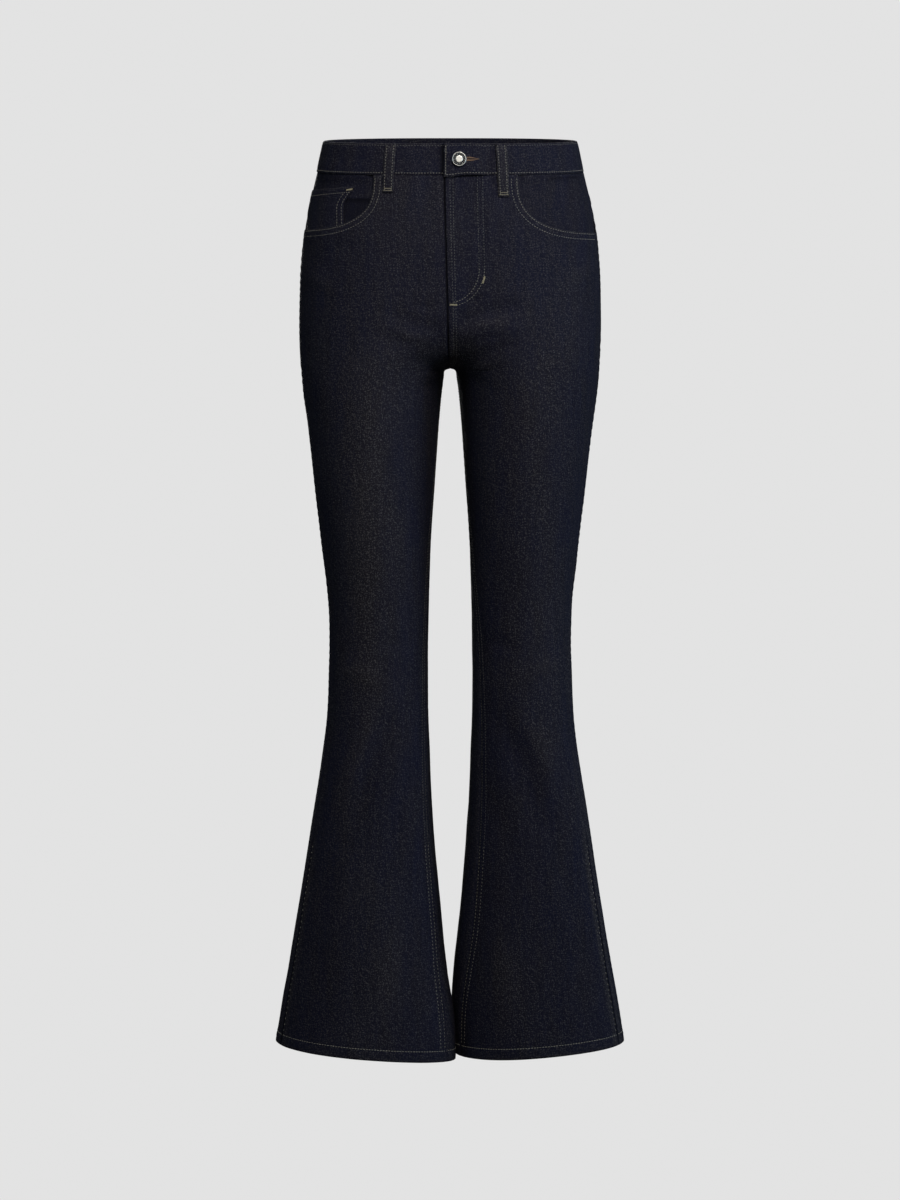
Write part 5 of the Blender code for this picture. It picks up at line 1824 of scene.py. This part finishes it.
@dataclass
class BeltLoop:
    """One belt loop: a folded strip, tacked at its foot, clear of the band between its foot and its
    top.
    """

    form: HalfForm
    finishes: Finishes
    node: str
    top_run: float
    foot_run: float
    drop: float = 25.5
    width: float = 12.0
    thickness: float = 1.6
    ridge: float = 0.66          # where the rows lie, as a share of the half width

    # heights, and how far the loop stands clear of the form there over what it crosses
    FOOT = ((0.0, LAYER_GAP), (6.0, LAYER_GAP))
    OVER_BAND = ((WAIST_SEAM - 5.0, 2.4), (WAIST_SEAM + 4.0, 3.2), (0.0, 3.4),
                 (WAIST_TOP - 9.0, 3.0), (WAIST_TOP - 4.0, 0.8 + LAYER_GAP),
                 (WAIST_TOP, 0.8 + LAYER_GAP))

    @property
    def foot(self) -> float:
        """Give the height of the loop's foot."""
        return WAIST_SEAM - self.drop

    def lift(self, run: Array, z: Array) -> Array:
        """Give the lift of the loop's outer face."""
        levels, clear = zip(*((self.foot + up, gap) for up, gap in self.FOOT), *self.OVER_BAND)
        across = (run - self.middle(z)) / (0.5 * self.width)
        side = np.abs(across)
        lift = rounded(z, levels, clear, 3.0) + self.thickness + 0.35 * (1.0 - across**2)
        lift += 0.12 * np.sin(math.tau * z / 6.5 + 2.0 * across) - 0.28 * bell(side - 0.66, 0.18)
        return lift - 0.35 * np.clip((side - 0.8) / 0.2, 0.0, 1.0) ** 2

    def middle(self, z: Array) -> Array:
        """Give the run of the loop's middle line."""
        share = (z - self.foot) / (WAIST_TOP - self.foot)
        return self.foot_run + (self.top_run - self.foot_run) * share

    def build(self) -> None:
        """Build and dress the loop."""
        half = 0.5 * self.width
        z = np.linspace(self.foot, WAIST_TOP - 0.6, 58)[:, None]
        patch = Patch.grid(self.middle(z) + half * np.linspace(-1.0, 1.0, 17), z)
        loop = ClothPiece(self.node, self.form, self.lift, self.finishes, (12.0, 62.0))
        side = np.abs(patch.run - self.middle(patch.z)) / half
        loop.wall(patch, 0.6 * smooth(side - 0.7, 0.3) + 0.5, self.thickness,
                  (self.finishes.denim,))
        stitching, tacks = Stitching(), Stitching(pitch=1.3, gap=0.2, radius=0.36)
        rise = np.linspace(self.foot + 1.0, WAIST_TOP - 1.5, 60)
        for row in (-self.ridge, self.ridge):
            loop.sew(stitching, self.middle(rise) + row * half, rise)
        for level, reach in ((self.foot + 4.4, 4.4), (self.foot + 2.0, 5.2)):
            loop.sew(tacks, self.middle(level) + np.linspace(-reach, reach, 12), level)
        loop.add(f"{self.node}_bar_tacks", tacks, self.finishes.tack)
        loop.book(stitching)


def build_belt_loops(forms: dict[Side, HalfForm], finishes: Finishes) -> None:
    """Build the five belt loops: two leaning ones in front, two behind and one at the centre."""
    front, splay, from_back, drop, right_drop = 61.9, 3.6, 128.0, 25.5, 20.5
    left = forms[Side.LEFT]
    top, foot = (float(left.whole_run(z)) for z in (WAIST_TOP, WAIST_SEAM - drop))
    for side in (Side.RIGHT, Side.LEFT):
        start = front - side.value * TURN
        BeltLoop(forms[side], finishes, f"belt_loop_front_{side.word}", start, start + splay,
                 right_drop if side is Side.RIGHT else drop).build()
        BeltLoop(forms[side], finishes, f"belt_loop_back_{side.word}", top - from_back,
                 foot - from_back).build()
    BeltLoop(left, finishes, "belt_loop_center_back", top, foot).build()


@dataclass
class BackPocket:
    """A five-sided patch pocket on the seat, left bare."""

    form: HalfForm
    finishes: Finishes
    x: float = 90.0
    top: float = -108.0
    width: float = 124.0
    foot_width: float = 102.0
    side: float = 110.0
    tip: float = 16.0
    tilt: float = 0.07
    hem: float = 14.0
    hem_row: float = 12.2

    def corners(self, inset: float = 0.0) -> list[Spot]:
        """List the outline's corners by |x| and z, from the top inner one, drawn in by an inset."""
        half, foot = 0.5 * self.width - inset, 0.5 * self.foot_width - 0.98 * inset
        low = 0.85 * inset - self.side
        raw = ((-half, -inset), (half, -inset), (foot, low),
               (0.0, 1.05 * inset - self.side - self.tip), (-foot, low))
        return [(self.x + a - self.tilt * b, self.top + b + self.tilt * a) for a, b in raw]

    def inside(self, run: Array, z: Array) -> Array:
        """Tell how far places lie inside the outline."""
        at = self.form.place(run, z)
        x, height = self.form.sign * at[..., 0], at[..., 2]
        corners = self.corners()
        return np.minimum.reduce([
            ((x - ax) * (bz - az) - (height - az) * (bx - ax)) / math.hypot(bx - ax, bz - az)
            for (ax, az), (bx, bz) in edges_of(corners)])

    def from_top(self, run: Array, z: Array) -> Array:
        """Tell how far places lie below the top edge."""
        at = self.form.place(run, z)
        return self.top + self.tilt * (self.form.sign * at[..., 0] - self.x) - at[..., 2]

    def lift(self, run: Array, z: Array) -> Array:
        """Give the lift of the pocket's outer face."""
        depth, down = self.inside(run, z), self.from_top(run, z)
        lift = WALL + SEAM_GAP + 0.35 * (1.0 - smooth(depth - 9.0, 3.0))
        lift += 0.3 * (1.0 - smooth(down - self.hem, 2.0)) - 0.2 * bell(down - self.hem_row, 1.3)
        lift -= 0.15 * sum(bell(depth - row, 1.2) for row in SEAM_ROWS)
        lift += puckers(run + z, depth, 7.0, 0.26, 8.0)
        belly = 1.0 + 0.5 * undulation(run / 30.0, z / 35.0)
        return lift + 0.8 * bell(depth - 45.0, 35.0) * belly

    def find(self, x: float, z: float) -> Spot:
        """Find the run and level under a point of the outline, seen square on."""
        return self.form.find(self.form.sign * x, z, Face.BACK)

    def build(self) -> None:
        """Build and dress the pocket."""
        corners = self.corners()
        run, z = np.meshgrid(*(np.arange(min(values) - 12.0, max(values) + 12.0, 2.0)
                               for values in zip(*(self.find(*corner) for corner in corners))))
        patch = Patch.grid(run, z)
        patch = patch.clipped(self.inside(patch.run, patch.z), 0.3)
        depth = self.inside(patch.run, patch.z)
        pocket = ClothPiece(f"back_pocket_{self.form.side.word}", self.form, self.lift,
                            self.finishes, (135.0, 135.0), 0.82)
        pocket.wall(patch, 0.5 * bell(depth, 2.0) + 0.2 * bell(depth - 5.0, 3.0) + 0.05)
        stitching, tacks = Stitching(), Stitching()
        for inset in SEAM_ROWS:
            inner, *others = self.corners(inset)
            path = [*others, inner]
            for end in (0, -1):
                path[end] = (path[end][0], path[end][1] + inset - 1.0)
            self.sew_outline(pocket, stitching, path)
        (inner_x, inner_z), (outer_x, outer_z) = corners[:2]
        self.sew_outline(pocket, stitching, [(inner_x + 2.5, inner_z - self.hem_row),
                                             (outer_x - 2.5, outer_z - self.hem_row)])
        for x, z, toward in ((inner_x, inner_z, 1.0), (outer_x, outer_z, -1.0)):
            start, end = (self.find(x + toward * far, z - 2.0) for far in (1.6, 8.6))
            pocket.tack(tacks, start, end, 2.0)
        pocket.add(f"{pocket.node}_bar_tacks", tacks, self.finishes.tack)
        pocket.book(stitching)

    def sew_outline(self, pocket: ClothPiece, stitching: Stitching, path: list[Spot]) -> None:
        """Sew along a path of corners seen square on."""
        for (ax, az), (bx, bz) in zip(path, path[1:]):
            found = [self.find(ax + (bx - ax) * float(t), az + (bz - az) * float(t))
                     for t in np.linspace(0.0, 1.0, 24)]
            pocket.sew(stitching, *np.array(found).T)


def turned(base: Array, axes: Sequence[Array], profile: Sequence[Spot],
           sides: int) -> tuple[Array, Faces]:
    """Turn a closed solid about its axis.

    Args:
        base: The foot of the axis.
        axes: Two directions across it, and the one along it, left-handed.
        profile: Radii and heights, from the rim of the foot to the top on the axis.
        sides: Points round it.

    Returns:
        Points and faces.
    """
    right, up, out = axes
    angle = np.arange(sides)[:, None] * math.tau / sides
    spokes = np.cos(angle) * right + np.sin(angle) * up
    rings = [base + radius * spokes + height * out for radius, height in profile[:-1]]
    points = np.concatenate((*rings, [base + profile[-1][1] * out]))
    last = (len(rings) - 1) * sides
    faces: Faces = [tuple(range(sides))]
    for k in range(sides):
        n = (k + 1) % sides
        faces += [(i + k, i + sides + k, i + sides + n, i + n) for i in range(0, last, sides)]
        faces.append((last + k, last + sides, last + n))
    return points, faces


@dataclass
class Closure:
    """The waist button and the closed zip behind the fly."""

    band: Waistband
    finishes: Finishes
    radius: float = 8.25
    height: float = 3.6
    level: float = 0.0
    sides: int = 96
    beads: int = 18
    bead_radius: float = 0.068   # shares of the button's radius and height
    bead_ring: float = 0.69
    bead_level: float = 0.75
    bead_sides: int = 10
    zip_half: float = 13.0
    zip_top: float = -27.0
    zip_bottom: float = -158.0
    tape_wall: float = 0.8
    tooth_pitch: float = 2.4
    tooth_lean: float = 0.9

    # shares of the radius and the height
    PROFILE = ((0.45, 0.0), (0.45, 0.28), (0.84, 0.29), (0.93, 0.34), (0.98, 0.42), (1.0, 0.52),
               (1.0, 0.62), (0.99, 0.74), (0.97, 0.86), (0.94, 0.94), (0.90, 0.975), (0.87, 0.96),
               (0.85, 0.90), (0.83, 0.80), (0.79, 0.75), (0.70, 0.735), (0.60, 0.735),
               (0.55, 0.76), (0.525, 0.84), (0.50, 0.92), (0.465, 0.975), (0.41, 0.995),
               (0.30, 1.0), (0.15, 1.0), (0.0, 1.0))
    TOOTH = (4.2, 1.5, 1.3)
    SLIDER = (9.0, 9.0, 2.4)
    PULL = (5.0, 17.0, 1.0)
    BLOCK_FACES = ((0, 1, 2, 3), (7, 6, 5, 4), (0, 4, 5, 1), (1, 5, 6, 2), (2, 6, 7, 3),
                   (3, 7, 4, 0))

    def build_button(self) -> None:
        """Turn the button, with a ring of plain beads round a raised disc."""
        band = self.band
        along, level = np.array(band.begin + band.button_from_end), np.array(self.level)
        base = band.place(along, level, np.array(band.lift + band.thickness + 2.0 * SEAM_GAP))
        out = band.forms[Side.LEFT].normal(np.abs(along), level)
        right = unit(np.cross(out, np.array((0.0, 0.0, 1.0))))
        up = np.cross(right, out)
        parts = [turned(base, (right, up, out),
                        [(r * self.radius, h * self.height) for r, h in self.PROFILE], self.sides)]
        size = self.bead_radius * self.radius
        dome = [(size * math.cos(tilt), size * math.sin(tilt))
                for tilt in np.radians((0.0, 30.0, 60.0, 90.0))]
        for k in range(self.beads):
            turn = math.tau * (k + 0.5) / self.beads
            spoke = math.cos(turn) * right + math.sin(turn) * up
            middle = base + out * self.height * self.bead_level + spoke * self.radius * self.bead_ring
            parts.append(turned(middle, (right, up, out), dome, self.bead_sides))
        faces: Faces = []
        start = 0
        for points, turned_faces in parts:
            faces += [tuple(start + k for k in face) for face in turned_faces]
            start += len(points)
        piece = mesh_piece("waist_button", np.concatenate([points for points, _ in parts]), faces,
                           self.finishes.button)
        hollow = [float(smooth(0.9 - h, 0.12)) if r > 0.4 else 0.1 for r, h in self.PROFILE]
        hollow = np.concatenate((np.repeat(hollow[:-1], self.sides), hollow[-1:]))
        beads = np.full(start - len(hollow), 0.15)
        set_values(piece, "hollow", np.concatenate((hollow, beads)))
        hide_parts("button")

    def build_zip(self) -> None:
        """Lay the zip's tape behind the fly, with its teeth, slider and pull."""
        form = self.band.forms[Side.LEFT]
        depth = WALL + LAYER_GAP
        z = np.linspace(self.zip_bottom, self.zip_top, 60)[:, None]
        run = centre_front(form, z) + self.zip_half * np.linspace(-1.0, 1.0, 15)
        patch = Patch.grid(run, z)
        tape = ClothPiece("fly_zip", form, lambda run, z: -depth, self.finishes,
                          (2.0 * self.zip_half, 131.0), slot="zip_tape")
        tape.wall(patch, np.zeros(len(patch.run)), self.tape_wall, (self.finishes.tape,),
                  kind="tape")
        under = -depth - self.tape_wall
        top = self.zip_top - 9.0
        teeth = np.arange(self.zip_bottom + 6.0, self.zip_top - 12.0, self.tooth_pitch)
        blocks = [(level, self.tooth_lean * (1.0 if k % 2 else -1.0), self.TOOTH, under)
                  for k, level in enumerate(teeth.tolist())]
        blocks += [(top, 0.0, self.SLIDER, under), (top - 12.0, 0.0, self.PULL, under - 2.4)]
        points = np.concatenate([self._block(form, *block) for block in blocks])
        faces = [tuple(start + k for k in face) for start in range(0, len(points), 8)
                 for face in self.BLOCK_FACES]
        metal = mesh_piece("fly_zip_teeth", points, faces, self.finishes.zip_metal)
        metal.data.shade_flat()
        soften = metal.modifiers.new("edges", "BEVEL")
        soften.width = 0.25 * MM
        soften.segments = 2
        set_values(metal, "hollow", np.full(len(points), 0.2))
        tape.extras.append(metal)
        tape.book()

    @staticmethod
    def _block(form: HalfForm, level: float, lean: float, size: Color, lift: float) -> Array:
        """List the corners of one block of the zip on the inside of the fly."""
        middle = float(centre_front(form, np.array(level))) + lean
        a, b = 0.5 * np.array(((-1, -1), (1, -1), (1, 1), (-1, 1))).T
        return np.concatenate([form.lifted(middle + a * size[0], level + b * size[1], lift - deep)
                               for deep in (0.0, size[2])])

    def build(self) -> None:
        """Build the button and the zip."""
        self.build_button()
        self.build_zip()


# --- Studio


@dataclass(frozen=True)
class SoftLight:
    """A rectangular light, aimed at the garment."""

    name: str
    place: Color
    size: Spot
    power: float
    color: Color
    aim: Color = (0.0, 0.0, -0.5)

    def hang(self) -> None:
        """Hang the light."""
        data = bpy.data.lights.new(self.name, "AREA")
        data.shape = "RECTANGLE"
        data.size, data.size_y = self.size
        data.energy = self.power
        data.color = self.color
        lamp = bpy.data.objects.new(self.name, data)
        lamp.location = self.place
        x, y, z = np.array(self.aim) - np.array(self.place)
        lamp.rotation_euler = (math.atan2(math.hypot(x, y), -z), 0.0,
                               math.atan2(y, x) - 0.5 * math.pi)
        bpy.context.scene.collection.objects.link(lamp)


@dataclass
class Studio:
    """A pale seamless studio, its lights and its camera, in metres."""

    backdrop: float = 0.767
    fill: float = 0.09
    floor_level: float = -1.32
    floor_reach: float = 9.0
    floor_color: Color = (0.12, 0.12, 0.12)
    lens: float = 103.02
    film_height: float = 36.0
    camera_place: Color = (-0.0002, -4.0, -0.13)
    camera_tilt: float = 84.5
    lights: tuple[SoftLight, ...] = (
        SoftLight("key", (0.32, -1.55, 1.05), (1.0, 1.0), 46.0, (1.0, 0.965, 0.90),
                  (0.0, 0.0, -0.25)),
        SoftLight("cool", (-2.6, -1.4, 0.5), (1.2, 1.2), 12.0, (0.55, 0.80, 1.0), (0.0, 0.0, -0.1)),
        SoftLight("side", (2.8, -0.9, 0.1), (1.0, 2.4), 60.0, (0.60, 0.80, 1.0)),
        SoftLight("front", (0.1, -3.8, -0.9), (1.8, 1.2), 4.0, (1.0, 0.98, 0.97)),
        SoftLight("back", (-0.4, 3.6, 0.7), (1.2, 1.6), 100.0, (1.0, 0.98, 0.96)),
        SoftLight("high", (0.3, 0.4, 2.6), (2.0, 2.0), 12.0, (1.0, 1.0, 1.0)),
    )

    def build_world(self) -> None:
        """Light the world softly, and show it as the pale backdrop."""
        world = bpy.data.worlds.new("studio")
        world.use_nodes = True
        graph = Graph(world.node_tree)
        seen = graph.node("ShaderNodeLightPath").outputs["Is Camera Ray"]
        graph.fill(world.node_tree.nodes["Background"], Color=(1.0, 1.0, 1.0, 1.0),
                   Strength=graph.span(seen, 0.0, 1.0, self.fill, self.backdrop))
        bpy.context.scene.world = world

    def build_floor(self) -> None:
        """Lay the pale floor, as bright as the backdrop."""
        mesh = bpy.data.meshes.new("studio_floor")
        mesh.from_pydata([(x * self.floor_reach, y * self.floor_reach, self.floor_level)
                          for x, y in ((-1, -1), (1, -1), (1, 1), (-1, 1))], [], [(0, 1, 2, 3)])
        floor = bpy.data.objects.new("studio_floor", mesh)
        bpy.context.scene.collection.objects.link(floor)
        paint, graph = Graph.material("studio floor")
        graph.fill(graph.shader, Base_Color=(*self.floor_color, 1.0), Roughness=0.95)
        glow = graph.fill(graph.node("ShaderNodeEmission"), Color=(1.0, 1.0, 1.0, 1.0),
                          Strength=self.backdrop)
        choice = graph.node("ShaderNodeMixShader")
        seen = graph.node("ShaderNodeLightPath").outputs["Is Camera Ray"]
        for socket, value in zip(choice.inputs, (seen, graph.shader.outputs[0], glow.outputs[0])):
            graph.feed(socket, value)
        graph.feed(graph.tree.nodes["Material Output"].inputs[0], choice.outputs[0])
        mesh.materials.append(paint)

    def build_camera(self) -> None:
        """Set the camera square before the garment, a little above its middle."""
        data = bpy.data.cameras.new("camera")
        data.lens = self.lens
        data.sensor_fit = "VERTICAL"
        data.sensor_height = self.film_height
        data.clip_start = 0.05
        camera = bpy.data.objects.new("camera", data)
        camera.location = self.camera_place
        camera.rotation_euler = (math.radians(self.camera_tilt), 0.0, 0.0)
        bpy.context.scene.collection.objects.link(camera)
        bpy.context.scene.camera = camera

    def build(self) -> None:
        """Set up the studio."""
        bpy.context.scene.view_settings.view_transform = "Standard"
        self.build_world()
        self.build_floor()
        for light in self.lights:
            light.hang()
        self.build_camera()


def main() -> None:
    """Build the studio and the dressed jeans."""
    Studio().build()
    finishes = Finishes.build()
    forms = {side: HalfForm(side) for side in Side}
    for form in forms.values():
        for part in (LegPanels, Yoke, PocketFacing, BackPocket):
            part(form, finishes).build()
    band = Waistband(forms, finishes)
    band.build()
    build_belt_loops(forms, finishes)
    Closure(band, finishes).build()


if __name__ == "__main__":
    logging.basicConfig(level=logging.INFO)
    main()
